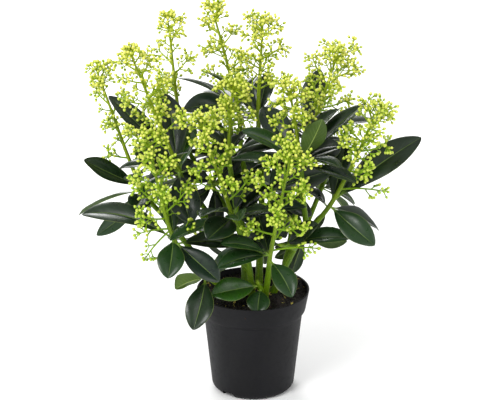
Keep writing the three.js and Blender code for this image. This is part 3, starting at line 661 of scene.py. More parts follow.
def side_branch(room, path, number):
    """One side branch with the clusters at its end, or none where there is no room."""
    shoot = path.shoot
    name = shoot["name"]
    owner = "flowers_" + name
    draw = seeded_draws(shoot["seed"] * BRANCH_SEEDS + number)
    place = (number + around(draw, 0.5, BRANCH_SHIFT)) / shoot["branches"]
    height = mix(shoot["bare"], BRANCHES_END, place)
    t = mix(path.whorl_end, 1, height)
    axis = path.direction(t)
    bearing = shoot["turn"] + GOLDEN_ANGLE * number + around(draw, 0, BRANCH_TURN_SPREAD)
    lean = mix(BRANCH_LEAN_LOW, BRANCH_LEAN_HIGH, height) + around(draw, 0, BRANCH_LEAN_SPREAD)
    length = shoot["reach"] * mix(1, BRANCH_TOP_SHARE, height) * around(draw, *BRANCH_SIZE)
    direction = leaning_direction(axis, math.radians(bearing), math.radians(lean))
    arc = Arc(path.at(t), direction, axis, length, BRANCH_BEND)
    count = max(2, math.floor(length / ROOM_SPACING + 0.5))
    points = arc.at((np.arange(count) + 1) / count)[0]
    if not (room.is_free(owner, name, points, TWIG_ROOM, np.arange(count) < 2)
            and room.is_free(owner, name, points[-1:], BUD_ROOM, [False])):
        return None
    room.take(owner, name, points, TWIG_ROOM)
    room.take(owner, name, points[-1:], BUD_ROOM)
    seat = arc.at(1 - BUD_LENGTH * BUD_WIDEST / length)[0]
    turn = around(draw, 0, math.pi)
    beside = clusters_round(room, name, seat, direction, BUDS_BESIDE, turn, draw)
    return SimpleNamespace(arc=arc, beside=beside)


def top_clusters(room, path):
    shoot = path.shoot
    draw = seeded_draws(shoot["seed"] * BRANCH_SEEDS + TOP_SEED)
    axis = path.direction(TOP_ROOT)
    arc = Arc(path.at(TOP_ROOT), axis, np.array([0, 1.0, 0]), TOP_BUD_LENGTH, TOP_BEND)
    turn = around(draw, 0, math.pi)
    seat = arc.at(1 - BUD_WIDEST)[0]
    return [arc, *clusters_round(room, shoot["name"], seat, axis, TOP_BUDS, turn, draw)]


class Bloom:
    """The fine stalks and the buds of one flower head, each bud where it finds room."""

    def __init__(self, fine, draw):
        self.fine = fine
        self.draw = draw
        self.stalks = []
        self.buds = []

    def stalk(self, arc, end, radii):
        self.stalks.append(SimpleNamespace(arc=arc, end=end, radii=radii))

    def bud(self, fork, axis, bearing, lean, pedicel):
        """A stalked bud that leans from an axis, after small turns where there is no room."""
        for turn, straighten in BUD_TRIES:
            direction = leaning_direction(axis, bearing + turn, math.radians(lean - straighten))
            middle = fork + direction * (pedicel + BUD_ROUND)
            if self.fine.is_free(middle[None], BUD_ROUND):
                self.fine.take(middle[None], BUD_ROUND)
                arc = Arc(fork, direction, axis, pedicel, PEDICEL_BEND)
                self.stalk(arc, 1, PEDICEL_RADII)
                upturned = unit(mix(direction, axis, BUD_UPTURN))
                self.buds.append((arc.at(1.0)[0], upturned, self.draw()))
                return

    def side_bud(self, fork, axis, bearing):
        self.bud(fork, axis, bearing, around(self.draw, *PEDICEL_LEAN), around(self.draw, *PEDICEL))

    def twig(self, arc, radius):
        """A twig that ends in a bud, with a ring of buds below it. Gives the first one's bearing."""
        end = 1 - BUD_REACH / arc.length
        self.stalk(arc, end, (radius, FORK_RADIUS))
        turn = around(self.draw, 0, math.pi)
        fork, axis = arc.end_at(end)
        self.bud(fork, axis, turn, END_BUD_LEAN, around(self.draw, *END_PEDICEL))
        for bearing in turn + round_turns(END_BUDS):
            self.side_bud(fork, axis, bearing)
        return turn

    def cluster(self, arc, radius=CLUSTER_RADIUS):
        """A twig with one more pair of buds lower down."""
        turn = self.twig(arc, radius)
        fork, axis = arc.end_at(NODE_AT)
        for half in (0, math.pi):
            bearing = turn + math.pi / 2 + half + around(self.draw, 0, NODE_TURN_SPREAD)
            self.side_bud(fork, axis, bearing)

    def twigs(self, places, bearings, leans, lengths):
        """Short twigs of buds, where there is room. A place is a root and the axis to lean from."""
        for (root, axis), bearing, lean, length in zip(places, bearings, leans, lengths):
            lean = math.radians(around(self.draw, lean, TWIG_LEAN_SPREAD))
            direction = leaning_direction(axis, bearing, lean)
            length *= around(self.draw, 1, TWIG_LENGTH_SPREAD)
            arc = Arc(root, direction, axis, length, BRANCH_BEND)
            if self.fine.is_free(arc.at(TWIG_ROOM_SHARES)[0], TWIG_FINE_ROOM):
                self.twig(arc, TWIG_RADIUS)

    def spray(self, path, share, bearing, rise, length):
        """A long thin side branch that is bare at first, with well spaced twigs further out."""
        root = path.at(mix(path.whorl_end, 1, share))
        arc = Arc(root, turned(bearing, rise), np.array([0, 0, 1.0]), length, SPRAY_BEND)
        end = 1 - BUD_LENGTH / length
        self.stalk(arc, end, SPRAY_RADII)
        point, axis = arc.end_at(end)
        last = Arc(point, axis, arc.at(end)[1], BUD_LENGTH, BRANCH_BEND / 2)
        self.cluster(last, SPRAY_END_RADIUS)
        count = int((end - SPRAY_TWIGS_FROM) * length / SPRAY_TWIG_SPACING) + 1
        shares = np.linspace(SPRAY_TWIGS_FROM, end - SPRAY_END_BARE, count)
        places = [arc.end_at(share) for share in shares]
        self.twigs(places, golden_turns(count, around(self.draw, 0, math.pi)), [TWIG_LEAN] * count,
                   np.linspace(*SPRAY_TWIG_LENGTHS, count))

    def branch_twigs(self, arc):
        """Twigs along one side branch."""
        count = int((arc.length - TWIG_START - TWIG_END) / TWIG_SPACING) + 1
        shares = (TWIG_START + TWIG_SPACING * np.arange(count)) / arc.length
        places = [arc.end_at(share) for share in shares]
        self.twigs(places, golden_turns(count, around(self.draw, 0, math.pi)), [TWIG_LEAN] * count,
                   np.linspace(*TWIG_LENGTHS, max(count, 2))[:count])

    def axis_twigs(self, path, shares, turn, leans, lengths):
        """Twigs on the flower axis itself, at shares of the path."""
        count = len(shares)
        places = [(path.at(t), path.direction(t)) for t in shares]
        self.twigs(places, golden_turns(count, turn), np.linspace(*leans, count),
                   np.linspace(*lengths, count))


def grow_bloom(fine, head):
    """Fills a flower head: its clusters, short twigs on each side branch, and more on the axis."""
    path, shoot = head.path, head.path.shoot
    bloom = Bloom(fine, seeded_draws(shoot["seed"] * FINE_SEEDS + FINE_SEED))
    for branch in head.branches:
        fine.take(branch.arc.at(BRANCH_ROOM_SHARES)[0], BRANCH_ROOM)
    for cluster in head.top:
        bloom.cluster(cluster)
    for branch in head.branches:
        arc = branch.arc
        start = 1 - BUD_LENGTH / arc.length
        bloom.stalk(arc, start, BRANCH_RADII)
        middle, normal = arc.at(start)
        last = Arc(middle, unit(arc.at(1.0)[0] - middle), normal, BUD_LENGTH, BRANCH_BEND / 2)
        bloom.cluster(last, BRANCH_END_RADIUS)
        for cluster in branch.beside:
            bloom.cluster(cluster)
    for branch in head.branches:
        bloom.branch_twigs(branch.arc)
    for row in SPRAYS.get(shoot["name"], ()):
        bloom.spray(path, *row)
    turn = math.radians(shoot["turn"] + GOLDEN_ANGLE / 2)
    shares = mix(path.whorl_end, 1, np.linspace(*AXIS_TWIGS_AT, AXIS_TWIGS))
    bloom.axis_twigs(path, shares, turn, (TWIG_LEAN, TWIG_LEAN), AXIS_TWIG_LENGTHS)
    shares = np.linspace(*mix(path.whorl_end, 1, np.array(DOME_AT)), DOME_TWIGS)
    bloom.axis_twigs(path, shares, 0.0, DOME_LEANS, DOME_LENGTHS)
    return bloom


# ---- Growth ----


def drawn_values(draw, table):
    return {key: around(draw, *values) for key, values in table.items()}


def fine_points(leaf):
    return blade_grid(leaf, FINE_FIRST_ROW, FINE_ROWS, FINE_COLUMNS)


def fill_leaves(fine, path):
    """Further, smaller leaves by the same rule, where there is still room in the shoot's reach."""
    name = path.shoot["name"]
    low, high = (np.array(corner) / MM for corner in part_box("leaves_" + name))
    draw = seeded_draws(path.shoot["seed"] + FILL_SEED)
    grown = []
    for number in range(FILL_TRIED):
        if len(grown) == FILL_LEAVES.get(name, 0):
            break
        drawn = drawn_values(draw, FILL_DRAWS)
        for turn, lift in RULE_TRIES:
            leaf = rule_leaf(path, number + 0.5, drawn, turn, lift, FILL_TRIED)
            points = fine_points(leaf)
            inside = (points > low - FILL_PAST).all() and (points < high + FILL_PAST).all()
            if inside and points[:, 2].min() > FILL_LOWEST and fine.is_free(points, FINE_LEAF_ROOM):
                fine.take(points, FINE_LEAF_ROOM)
                if np.hypot(*leaf.arc.at(1.0)[0][:2]) < SHADED_WITHIN:
                    leaf.tint = SHADED
                grown.append(leaf)
                break
    return grown


@functools.cache
def grown_plant():
    """The whole plant, grown in its solids' order: limbs, outline leaves, heads, other leaves."""
    paths = make_paths()
    room = Room()
    turns = round_turns(RIM_BALLS)
    height = np.full(RIM_BALLS, POT_HEIGHT)
    rim = np.stack([RIM_RADIUS * np.cos(turns), RIM_RADIUS * np.sin(turns), height], 1)
    room.take("pot", "pot", rim, RIM_ROOM)
    for name, path in paths.items():
        balls = math.ceil(path.length() / ROOM_SPACING)
        shares = path.end * np.arange(balls + 1) / balls
        radii = [path.radius(t) + LIMB_ROOM for t in shares]
        room.take("limb_" + name, name, path.points_at(shares), radii)

    leaves = []
    for name, path in paths.items():
        rows = [row for row in OUTLINE_LEAVES if row[0] == name]
        for number, row in enumerate(rows):
            share = 1 - (number + 0.5) / len(rows)
            make_leaf = functools.partial(outline_leaf, path, row, share)
            leaves.append(grow_leaf(room, name, OUTLINE_TRIES, make_leaf))

    heads = {}
    for name, path in paths.items():
        if path.has_head:
            branches = [side_branch(room, path, i) for i in range(path.shoot["branches"])]
            heads[name] = SimpleNamespace(path=path, branches=[b for b in branches if b],
                                          top=top_clusters(room, path))

    for name, path in paths.items():
        draw = seeded_draws(path.shoot["seed"])
        for number in range(path.shoot["leaves"]):
            make_leaf = functools.partial(rule_leaf, path, number, drawn_values(draw, LEAF_DRAWS))
            leaves.append(grow_leaf(room, name, RULE_TRIES, make_leaf))
    leaves = [leaf for leaf in leaves if leaf]

    fine = FineRoom()
    for path in paths.values():
        fine.take(path.points_at(np.linspace(0, path.end, CURVE_PARTS)), LIMB_FINE_ROOM)
    for leaf in leaves:
        fine.take(fine_points(leaf), BLADE_ROOM)
    blooms = {name: grow_bloom(fine, head) for name, head in heads.items()}
    for path in paths.values():
        leaves += fill_leaves(fine, path)
    return SimpleNamespace(paths=paths, leaves=leaves, blooms=blooms)


# ---- Meshes from many small shapes ----


def new_object(name, data):
    """An object of a mesh, a light or a camera, linked to the scene."""
    piece = bpy.data.objects.new(name, data)
    bpy.context.scene.collection.objects.link(piece)
    return piece


def finished(mesh, name, sharp):
    """The object of a mesh, smooth but for its edges over an angle in degrees."""
    mesh.validate()
    mesh.shade_smooth()
    mesh.set_sharp_from_angle(angle=math.radians(sharp))
    mesh.update()
    return new_object(name, mesh)


def applied_mesh(source, *spares):
    """The mesh of an object with its modifiers applied. The object and its spares are removed."""
    bpy.context.view_layer.update()
    whole = source.evaluated_get(bpy.context.evaluated_depsgraph_get())
    mesh = bpy.data.meshes.new_from_object(whole)
    for spare in (source, *spares):
        bpy.data.objects.remove(spare)
    return mesh


def settle(piece, slot, *nodes):
    """Attaches a finished piece to the root body and hides the solids that it stands for.
    Its slot is not used.
    """
    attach(piece, "root")
    if nodes:
        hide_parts(*nodes)


def nodes_like(start):
    return [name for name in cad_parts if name.startswith(start)]


def tube_faces(rings, sides):
    """Faces of a closed tube whose corners are numbered ring by ring: its quads, and the fans to
    the middles of its first and last rings, whose corners come after the rings."""
    ring, side = np.divmod(np.arange((rings - 1) * sides), sides)
    here = ring * sides + side
    beside = ring * sides + (side + 1) % sides
    quads = np.stack([here, beside, beside + sides, here + sides], 1)
    first = np.arange(sides)
    after = (first + 1) % sides
    last = (rings - 1) * sides
    foot = np.stack([after, first, np.full(sides, rings * sides)], 1)
    top = np.stack([first + last, after + last, np.full(sides, rings * sides + 1)], 1)
    return quads, foot, top


class Shapes:
    """Gathers the corners and faces of many shapes into one mesh."""

    def __init__(self):
        self.corners = []
        self.faces = []
        self.spots = []
        self.count = 0

    def add(self, corners, faces, spots):
        """Faces are arrays of corner numbers, and spots the places of those corners on the UV map."""
        self.corners.append(corners)
        for numbers, places in zip(faces, spots):
            self.faces += (numbers + self.count).tolist()
            self.spots.append(places.reshape(-1, 2))
        self.count += len(corners)

    def add_tube(self, middles, across, ahead, radii, places, cell):
        """A closed tube: radii holds one row for each ring, and places its share along the UV map.
        cell is the number of its column on the map, and how many there are."""
        rings, sides = radii.shape
        turns = round_turns(sides)[None, :, None]
        outward = np.cos(turns) * across[:, None] + np.sin(turns) * np.cross(ahead, across)[:, None]
        corners = (middles[:, None] + outward * radii[..., None]).reshape(-1, 3)
        quads, foot, top = tube_faces(rings, sides)
        row, side = np.divmod(np.arange(len(quads)), sides)
        column, columns = cell
        u = (column + np.stack([side, side + 1, side + 1, side], 1) / sides) / columns
        v = np.stack([places[row], places[row], places[row + 1], places[row + 1]], 1)
        ring = np.arange(sides)
        fan = (column + np.stack([ring, ring + 1, ring + 0.5], 1) / sides) / columns
        self.add(np.vstack([corners, middles[:1], middles[-1:]]), [quads, foot, top], [
            np.stack([u, v], 2),
            np.stack([fan, np.full(fan.shape, places[0])], 2),
            np.stack([fan, np.full(fan.shape, places[-1])], 2),
        ])

    def piece(self, name, material, sharp=60):
        mesh = bpy.data.meshes.new(name)
        mesh.from_pydata((np.vstack(self.corners) * MM).tolist(), [], self.faces)
        layer = mesh.uv_layers.new(name=UV_MAP)
        layer.uv.foreach_set("vector", np.vstack(self.spots).astype(np.float32).ravel())
        mesh.materials.append(material)
        return finished(mesh, name, sharp)


SUN_COLUMNS = 5                   # on the maps of the bark and the stalks
SUN_FROM, SUN_TO = 275.0, 415.0   # heights between which shoots are painted from green to a lighter yellow-green, as painted sunlight


def painted_sun_cell(place):
    """The map's column for a place on a shoot or stalk: the higher it is, the more painted sunlight
    it gets.
    """
    sun = (place[2] - SUN_FROM) / (SUN_TO - SUN_FROM)
    return int(min(max(sun, 0), 0.99) * SUN_COLUMNS), SUN_COLUMNS


STALK_TUBE = (6, 6)               # sides and rings
PEDICEL_TUBE = (4, 3)


def add_stalk(shapes, stalk):
    """A thin tube along an arc, coarser for the many small stalks of single buds."""
    sides, rings = PEDICEL_TUBE if stalk.radii == PEDICEL_RADII else STALK_TUBE
    shares = np.linspace(0, stalk.end, rings)
    middles, normals = stalk.arc.at(shares)
    across = np.repeat(stalk.arc.across[None], rings, 0)
    radii = np.linspace(*stalk.radii, rings)[:, None] * np.ones(sides)
    shapes.add_tube(middles, across, np.cross(normals, across), radii, shares, painted_sun_cell(middles[0]))


# ---- Materials ----


def linear(hex_colour):
    """The linear, opaque colour of an sRGB hex value."""
    parts = [int(hex_colour[i:i + 2], 16) / 255 for i in (1, 3, 5)]
    return (*(p / 12.92 if p <= 0.04045 else ((p + 0.055) / 1.055) ** 2.4 for p in parts), 1.0)


def add_node(tree, kind, inputs=(), **settings):
    """Adds a node with its settings. Its inputs, by name or in order, are set to values, or linked
    to sockets or to the first output of a node."""
    node = tree.nodes.new(kind if "Node" in kind else "ShaderNode" + kind)
    for key, value in settings.items():
        setattr(node, key, value)
    sockets = [socket for socket in node.inputs if socket.enabled]
    named = {socket.name: socket for socket in sockets}
    for key, value in inputs.items() if isinstance(inputs, dict) else enumerate(inputs):
        socket = named[key] if isinstance(key, str) else sockets[key]
        if isinstance(value, bpy.types.Node):
            value = next(output for output in value.outputs if output.enabled)
        if isinstance(value, bpy.types.NodeSocket):
            tree.links.new(value, socket)
        else:
            socket.default_value = value
    return node


def new_material(name):
    """An empty material, and the function that adds nodes to it."""
    material = bpy.data.materials.new(name)
    material.use_nodes = True
    material.node_tree.nodes.clear()
    return material, functools.partial(add_node, material.node_tree)


def surface(add, inputs, bump=None):
    """Ends a material with its shader, with a bump where it has one."""
    if bump:
        inputs = {**inputs, "Normal": add("Bump", bump)}
    add("OutputMaterial", {"Surface": add("BsdfPrincipled", inputs)})


def plastic_material(settings):
    """Injection-moulded polypropylene, coloured through: dark, satin, with faint flow marks from the
    mould and a fine grain that spreads its highlights. Dust makes it paler and duller in patches, and
    the step under the band, where it gathers, is dullest."""
    material, add = new_material("moulded_polypropylene")
    place = add("TexCoord").outputs["Object"]
    grain = add("TexNoise", {"Vector": place, "Scale": 1 / (1.1 * MM), "Detail": 3})
    around_pot = add("Mapping", {"Vector": place, "Scale": (1, 1, 0.12)})
    flow = add("TexNoise", {"Vector": around_pot, "Scale": 1 / (28 * MM), "Detail": 2})
    cloud = add("TexNoise", {"Vector": place, "Scale": 1 / (45 * MM), "Detail": 4})
    dust = add("TexNoise", {"Vector": place, "Scale": 1 / (5 * MM), "Detail": 6})

    colour = linear("#0a0a0d")
    for share, over in (
        (add("MapRange", (cloud, 0.3, 0.7, 0, 1)), settings.colour),
        (add("MapRange", (dust, 0.62, 0.8, 0, 0.22)), linear("#2c2b2c")),
    ):
        colour = add("Mix", (share, colour, over), data_type="RGBA")

    height = add("Math", (add("SeparateXYZ", (place,)).outputs[2], MM), operation="DIVIDE")
    step_middle = POT_HEIGHT - BAND_HEIGHT - STEP_HEIGHT / 2
    above_step = add("Math", (height, step_middle), operation="SUBTRACT")
    off_step = add("Math", (above_step,), operation="ABSOLUTE")
    in_step = add("MapRange", (off_step, STEP_HEIGHT * 0.6, STEP_HEIGHT * 1.4, 1, 0))
    step_rough = add("Math", (in_step, 0.72), operation="MULTIPLY")
    flow_rough = add("MapRange", (flow, 0.3, 0.7, 0.5, 0.62))
    dust_rough = add("MapRange", (dust, 0.5, 0.8, 0, 0.14))
    rough = add("Math", (flow_rough, dust_rough), operation="ADD")
    rough = add("Math", (rough, step_rough), operation="MAXIMUM")
    fine_relief = add("Math", (grain, 0.3), operation="MULTIPLY")
    relief = add("Math", (fine_relief, flow), operation="ADD")
    surface(add, {"Base Color": colour, "Roughness": rough, "Specular IOR Level": 0.22},
            {"Height": relief, "Strength": 0.18, "Distance": 0.25 * MM})
    return material


def peat_material(name, dark, light, grain_mm):
    """Moist peat: matte and nearly black, with browner fibres and crumbs a few millimetres wide."""
    material, add = new_material(name)
    place = add("TexCoord").outputs["Object"]
    crumbs = add("TexVoronoi", {"Vector": place, "Scale": 1 / (grain_mm * MM)})
    fibre = add("TexNoise", {"Vector": place, "Scale": 1 / (1.2 * MM), "Detail": 5})
    patch = add("TexNoise", {"Vector": place, "Scale": 1 / (14 * MM), "Detail": 3})
    patchy = add("MapRange", (patch, 0.35, 0.7, 0.3, 1.3))
    share = add("Math", (fibre, patchy), operation="MULTIPLY")
    colour = add("Mix", (share, linear(dark), linear(light)), data_type="RGBA")
    lumps = add("Math", (crumbs, 1.5), operation="MULTIPLY")
    relief = add("Math", (fibre, lumps), operation="ADD")
    surface(add, {"Base Color": colour, "Roughness": add("MapRange", (fibre, 0.3, 0.7, 0.8, 0.97))},
            {"Height": relief, "Strength": 0.9, "Distance": 0.7 * MM})
    return material


def painted_sun_share(add, map_place):
    """How much painted sunlight a stalk or shoot gets, from 0 to 1: the number of its column on the
    map.
    """
    across = add("SeparateXYZ", (map_place,)).outputs[0]
    column = add("Math", (across, SUN_COLUMNS), operation="MULTIPLY")
    number = add("Math", (column,), operation="FLOOR")
    return add("Math", (number, SUN_COLUMNS - 1), operation="DIVIDE")


# How far light goes into the skin of young shoots and stalks, which softens their shading.
GREEN_DEPTH = {"Subsurface Radius": (0.8, 1.0, 0.3), "Subsurface Scale": 1 * MM}


def bark_material(settings):
    """Young green bark: smooth and waxy, with darker streaks, pale lenticels and, where the whorls
    sit, brownish leaf scars. Above the whorl it is painted lighter and yellower the higher the shoot
    stands, as painted sunlight, and towards the foot it is a little darker, as painted shade. On the
    shoot's own map a column runs once round it, and the columns stand for the painted sunlight that a
    shoot gets. On one 18 mm round and 300 mm long the lenticels are about 0.6 mm wide and 1.2 mm
    long, and the streaks
    0.8 mm wide and 40 mm long."""
    material, add = new_material("young_green_bark")
    map_place = add("UVMap", uv_map=UV_MAP)
    along = add("SeparateXYZ", (map_place,)).outputs[1]
    stretched = add("Mapping", {"Vector": map_place, "Scale": (5 * SUN_COLUMNS, 40, 1)})
    specks = add("TexNoise", {"Vector": stretched, "Scale": 6, "Detail": 4})
    lengthwise = add("Mapping", {"Vector": map_place, "Scale": (22 * SUN_COLUMNS, 7, 1)})
    streak = add("TexNoise", {"Vector": lengthwise, "Scale": 1, "Detail": 4})
    # Painted sunlight: the higher a shoot stands, the lighter and yellower its bark above the whorl.
    sun = painted_sun_share(add, map_place)
    shoot = add("Mix", (sun, settings.colour, linear("#a6b726")), data_type="RGBA")
    whorl_from = add("MapRange", (along, 0.55, 0.62, 0, 1))
    whorl_to = add("MapRange", (along, 0.68, 0.74, 1, 0))
    whorl = add("Math", (whorl_from, whorl_to), operation="MULTIPLY")
    scarred = add("MapRange", (specks, 0.5, 0.66, 0, 0.55))

    # Painted shade: the bark starts a little darker at the foot and lightens up to 0.4 of the limb.
    colour = linear("#648406")
    for share, over in (
        (add("MapRange", (along, 0.05, 0.4, 0, 1)), linear("#6c8e0c")),
        (add("MapRange", (along, 0.6, 0.8, 0, 1)), shoot),
        (add("MapRange", (streak, 0.38, 0.62, 0, 0.85)), linear("#436608")),
        (add("Math", (whorl, scarred), operation="MULTIPLY"), linear("#8c7a48")),
        (add("MapRange", (specks, 0.6, 0.7, 0, 0.65)), linear("#bdd468")),
    ):
        colour = add("Mix", (share, colour, over), data_type="RGBA")

    raised = add("Math", (specks, 0.6), operation="MULTIPLY")
    relief = add("Math", (streak, raised), operation="ADD")
    rough = add("MapRange", (streak, 0.3, 0.7, 0.36, 0.52))
    surface(add, {"Base Color": colour, "Roughness": rough, "Specular IOR Level": 0.18,
                  "Subsurface Weight": 0.06, **GREEN_DEPTH},
            {"Height": relief, "Strength": 0.35, "Distance": 0.25 * MM})
    return material


LEAF_TINTS = ("#12220f", "#18261f", "#1a3813", "#28500e", "#34520a", "#081008")
UNDERSIDE_TINTS = ("#394d25", "#3f4e41", "#3e5624", "#435c1b", "#4c680e", "#172114")
MAP_EDGE = 0.04                   # part of each cell of the leaf map that is kept clear all round
VEINS = 11                        # pairs of side veins, about 7 mm apart


def leaf_material(settings):
    """Living skimmia leaf: leathery, with a waxy skin that gives broad soft highlights, a pale
    midrib, faint side veins and a thin pale edge, which is a painted highlight where light catches
    the margin. Its underside is paler and duller. The map has a column for each tint, and a row for
    each side of the leaf."""
    material, add = new_material("waxy_leather_leaf")
    spot = add("SeparateXYZ", (add("UVMap", uv_map=UV_MAP),)).outputs
    column = add("Math", (spot[0], len(LEAF_TINTS)), operation="MULTIPLY")
    row = add("Math", (spot[1], 2), operation="MULTIPLY")
    across = add("Math", (column,), operation="FRACT")
    side = add("MapRange", (across, MAP_EDGE, 1 - MAP_EDGE, -1, 1))
    off_rib = add("Math", (side,), operation="ABSOLUTE")
    upwards = add("Math", (row,), operation="FRACT")
    along = add("MapRange", (upwards, MAP_EDGE, 1 - MAP_EDGE, 0, 1))
    is_upper = add("Math", (spot[1], 0.5), operation="GREATER_THAN")
    number = add("Math", (column,), operation="FLOOR")
    middle = add("Math", (number, 0.5), operation="ADD")
    tint = add("Math", (middle, len(LEAF_TINTS)), operation="DIVIDE")

    # Patterns are laid out in leaf widths of about 30 mm, and differ from tint to tint. The mottles
    # are about 9 mm wide and the leathery grain about 0.7 mm.
    shape = add("CombineXYZ", [add("Math", (value, scale), operation="MULTIPLY")
                               for value, scale in ((side, 0.5), (along, 2.8), (tint, 40))])
    mottle = add("TexNoise", {"Vector": shape, "Scale": 3.5, "Detail": 4})
    leather = add("TexNoise", {"Vector": shape, "Scale": 42, "Detail": 3})
    # Side veins leave the midrib at an angle and curve towards the tip.
    rows_of_veins = add("Math", (along, VEINS), operation="MULTIPLY")
    curved = add("Math", (off_rib, 1.3), operation="POWER")
    swept = add("Math", (curved, 2.6), operation="MULTIPLY")
    slanted = add("Math", (rows_of_veins, swept), operation="SUBTRACT")
    between = add("Math", (add("Math", (slanted,), operation="FRACT"), 0.5), operation="SUBTRACT")
    off_vein = add("Math", (between,), operation="ABSOLUTE")
    vein_line = add("MapRange", (off_vein, 0, 0.09, 1, 0))
    vein_fade = add("MapRange", (off_rib, 0.1, 0.9, 1, 0.1))
    vein = add("Math", (vein_line, vein_fade), operation="MULTIPLY")
    rib_width = add("MapRange", (along, 0, 1, 0.06, 0.014))
    off_rib_widths = add("Math", (off_rib, rib_width), operation="DIVIDE")
    rib = add("MapRange", (off_rib_widths, 0.55, 1.25, 1, 0))
    # Painted highlight: a thin pale line along the edge, where light catches it.
    margin_highlight = add("MapRange", (off_rib, 0.955, 0.995, 0, 1))
    stalk = add("MapRange", (along, 0.07, 0.16, 1, 0))

    def side_colour(tints, mottling, mottled, *lines):
        """The colour of one side: its tint, mottled, with lines laid over it by their strengths."""
        ramp = add("ValToRGB", (tint,))
        ramp.color_ramp.interpolation = "CONSTANT"
        for _ in tints[2:]:
            ramp.color_ramp.elements.new(0.5)
        for place, (element, colour) in enumerate(zip(ramp.color_ramp.elements, tints)):
            element.position = place / len(tints)
            element.color = linear(colour)
        share = add("MapRange", (mottle, 0.3, 0.7, 0, mottling))
        colour = add("Mix", (share, ramp, mottled), data_type="RGBA")
        for line, strength, over in lines:
            share = add("Math", (line, strength), operation="MULTIPLY")
            colour = add("Mix", (share, colour, over), data_type="RGBA")
        return colour

    upper = side_colour(LEAF_TINTS, 0.55, settings.upper, (vein, 0.22, linear("#3f5a34")),
                        (rib, 0.75, settings.midrib), (margin_highlight, 0.5, linear("#8a9a50")))
    lower = side_colour(UNDERSIDE_TINTS, 0.4, settings.lower, (vein, 0.35, linear("#8aa052")),
                        (rib, 0.85, linear("#a9bd62")))
    colour = add("Mix", (is_upper, lower, upper), data_type="RGBA")
    at_stalk = add("Math", (stalk, 0.85), operation="MULTIPLY")
    colour = add("Mix", (at_stalk, colour, linear("#8db03c")), data_type="RGBA")

    skin = add("MapRange", (mottle, 0.3, 0.7, 0.25, 0.38))
    rough = add("Mix", (is_upper, 0.58, skin), data_type="FLOAT")
    grain = add("Math", (leather, 0.3), operation="MULTIPLY")
    sunken = add("Math", (vein, 0.25), operation="MULTIPLY")
    relief = add("Math", (grain, sunken), operation="SUBTRACT")
    surface(add, {"Base Color": colour, "Roughness": rough, "Specular IOR Level": 0.42},
            {"Height": relief, "Strength": 0.35, "Distance": 0.25 * MM})
    return material


def stalk_material(settings):
    """Skin of the fresh flower stalks: smooth, bright green, a little paler towards the buds, and
    painted lighter and yellower the higher they stand, as painted sunlight, with pale streaks about 1
    mm wide.
    The map is laid out as the bark's is."""
    material, add = new_material("flower_stalk_skin")
    map_place = add("UVMap", uv_map=UV_MAP)
    along = add("SeparateXYZ", (map_place,)).outputs[1]
    stretched = add("Mapping", {"Vector": map_place, "Scale": (3 * SUN_COLUMNS, 5, 1)})
    streak = add("TexNoise", {"Vector": stretched, "Scale": 2, "Detail": 3})
    colour = linear("#70960e")
    for share, over in (
        (along, settings.stalk),
        # Painted sunlight: higher stalks are painted lighter and yellower.
        (painted_sun_share(add, map_place), linear("#a5b41c")),
        (add("MapRange", (streak, 0.4, 0.7, 0, 0.35)), linear("#a2be30")),
    ):
        colour = add("Mix", (share, colour, over), data_type="RGBA")
    surface(add, {"Base Color": colour, "Roughness": 0.5, "Specular IOR Level": 0.25,
                  "Subsurface Weight": 0.1, **GREEN_DEPTH})
    return material


BUD_TINTS = 8
PETALS = 5


def bud_material(settings):
    """Closed skimmia bud: smooth waxy petals, cream to lime, green at the foot, with faint seams
    between the petals that meet at the tip. The map has a column for each tint, and a column runs
    once round a bud."""
    material, add = new_material("waxy_bud_petals")
    spot = add("SeparateXYZ", (add("UVMap", uv_map=UV_MAP),)).outputs
    along = spot[1]
    column = add("Math", (spot[0], BUD_TINTS), operation="MULTIPLY")
    number = add("Math", (column,), operation="FLOOR")
    tint = add("Math", (number, BUD_TINTS - 1), operation="DIVIDE")
    once_round = add("Math", (column,), operation="FRACT")
    petals = add("Math", (once_round, PETALS), operation="MULTIPLY")
    petal = add("Math", (petals,), operation="FRACT")
    off_middle = add("Math", (petal, 0.5), operation="SUBTRACT")
    off_seam = add("Math", (off_middle,), operation="ABSOLUTE")
    seam_line = add("MapRange", (off_seam, 0.36, 0.5, 0, 1))
    seam_fade = add("MapRange", (along, 0.3, 0.8, 0, 0.4))
    is_warm = add("Math", (tint, 0.1), operation="LESS_THAN")
    warm_tip = add("MapRange", (along, 0.6, 1, 0, 0.2))

    # Tints run from cream to a darker lime; low buds get the lime end as painted shade, the rest at
    # random.
    colour = settings.bud
    for share, over in (
        (add("MapRange", (tint, 0.1, 1, 0, 1)), linear("#acca38")),
        (add("Math", (is_warm, warm_tip), operation="MULTIPLY"), linear("#e0a848")),
        (add("MapRange", (along, 0.1, 0.42, 1, 0)), settings.calyx),
        (add("Math", (seam_line, seam_fade), operation="MULTIPLY"), linear("#9db028")),
    ):
        colour = add("Mix", (share, colour, over), data_type="RGBA")
    surface(add, {"Base Color": colour, "Roughness": 0.4, "Specular IOR Level": 0.35,
                  "Subsurface Weight": 0.06, "Subsurface Radius": (1.0, 0.9, 0.3),
                  "Subsurface Scale": 1.2 * MM})
    return material


# ---- Settings ----


def colour_property(name, description, default):
    return FloatVectorProperty(name=name, description=description, default=linear(default), size=4,
                               min=0, max=1, subtype="COLOR")


def length_property(name, description, default, low, high):
    return FloatProperty(name=name, description=description, default=default * MM, min=low * MM,
                         max=high * MM, unit="LENGTH", precision=5)


class PotSettings(bpy.types.PropertyGroup):
    colour: colour_property("Plastic", "Colour of the pot's plastic", "#0f0f13")
    segments: IntProperty(name="Segments", description="Facets round the pot", default=144, min=24,
                          max=360)
    lip: length_property("Lip", "Radius of the rim's rounding", 0.7, 0, 1)


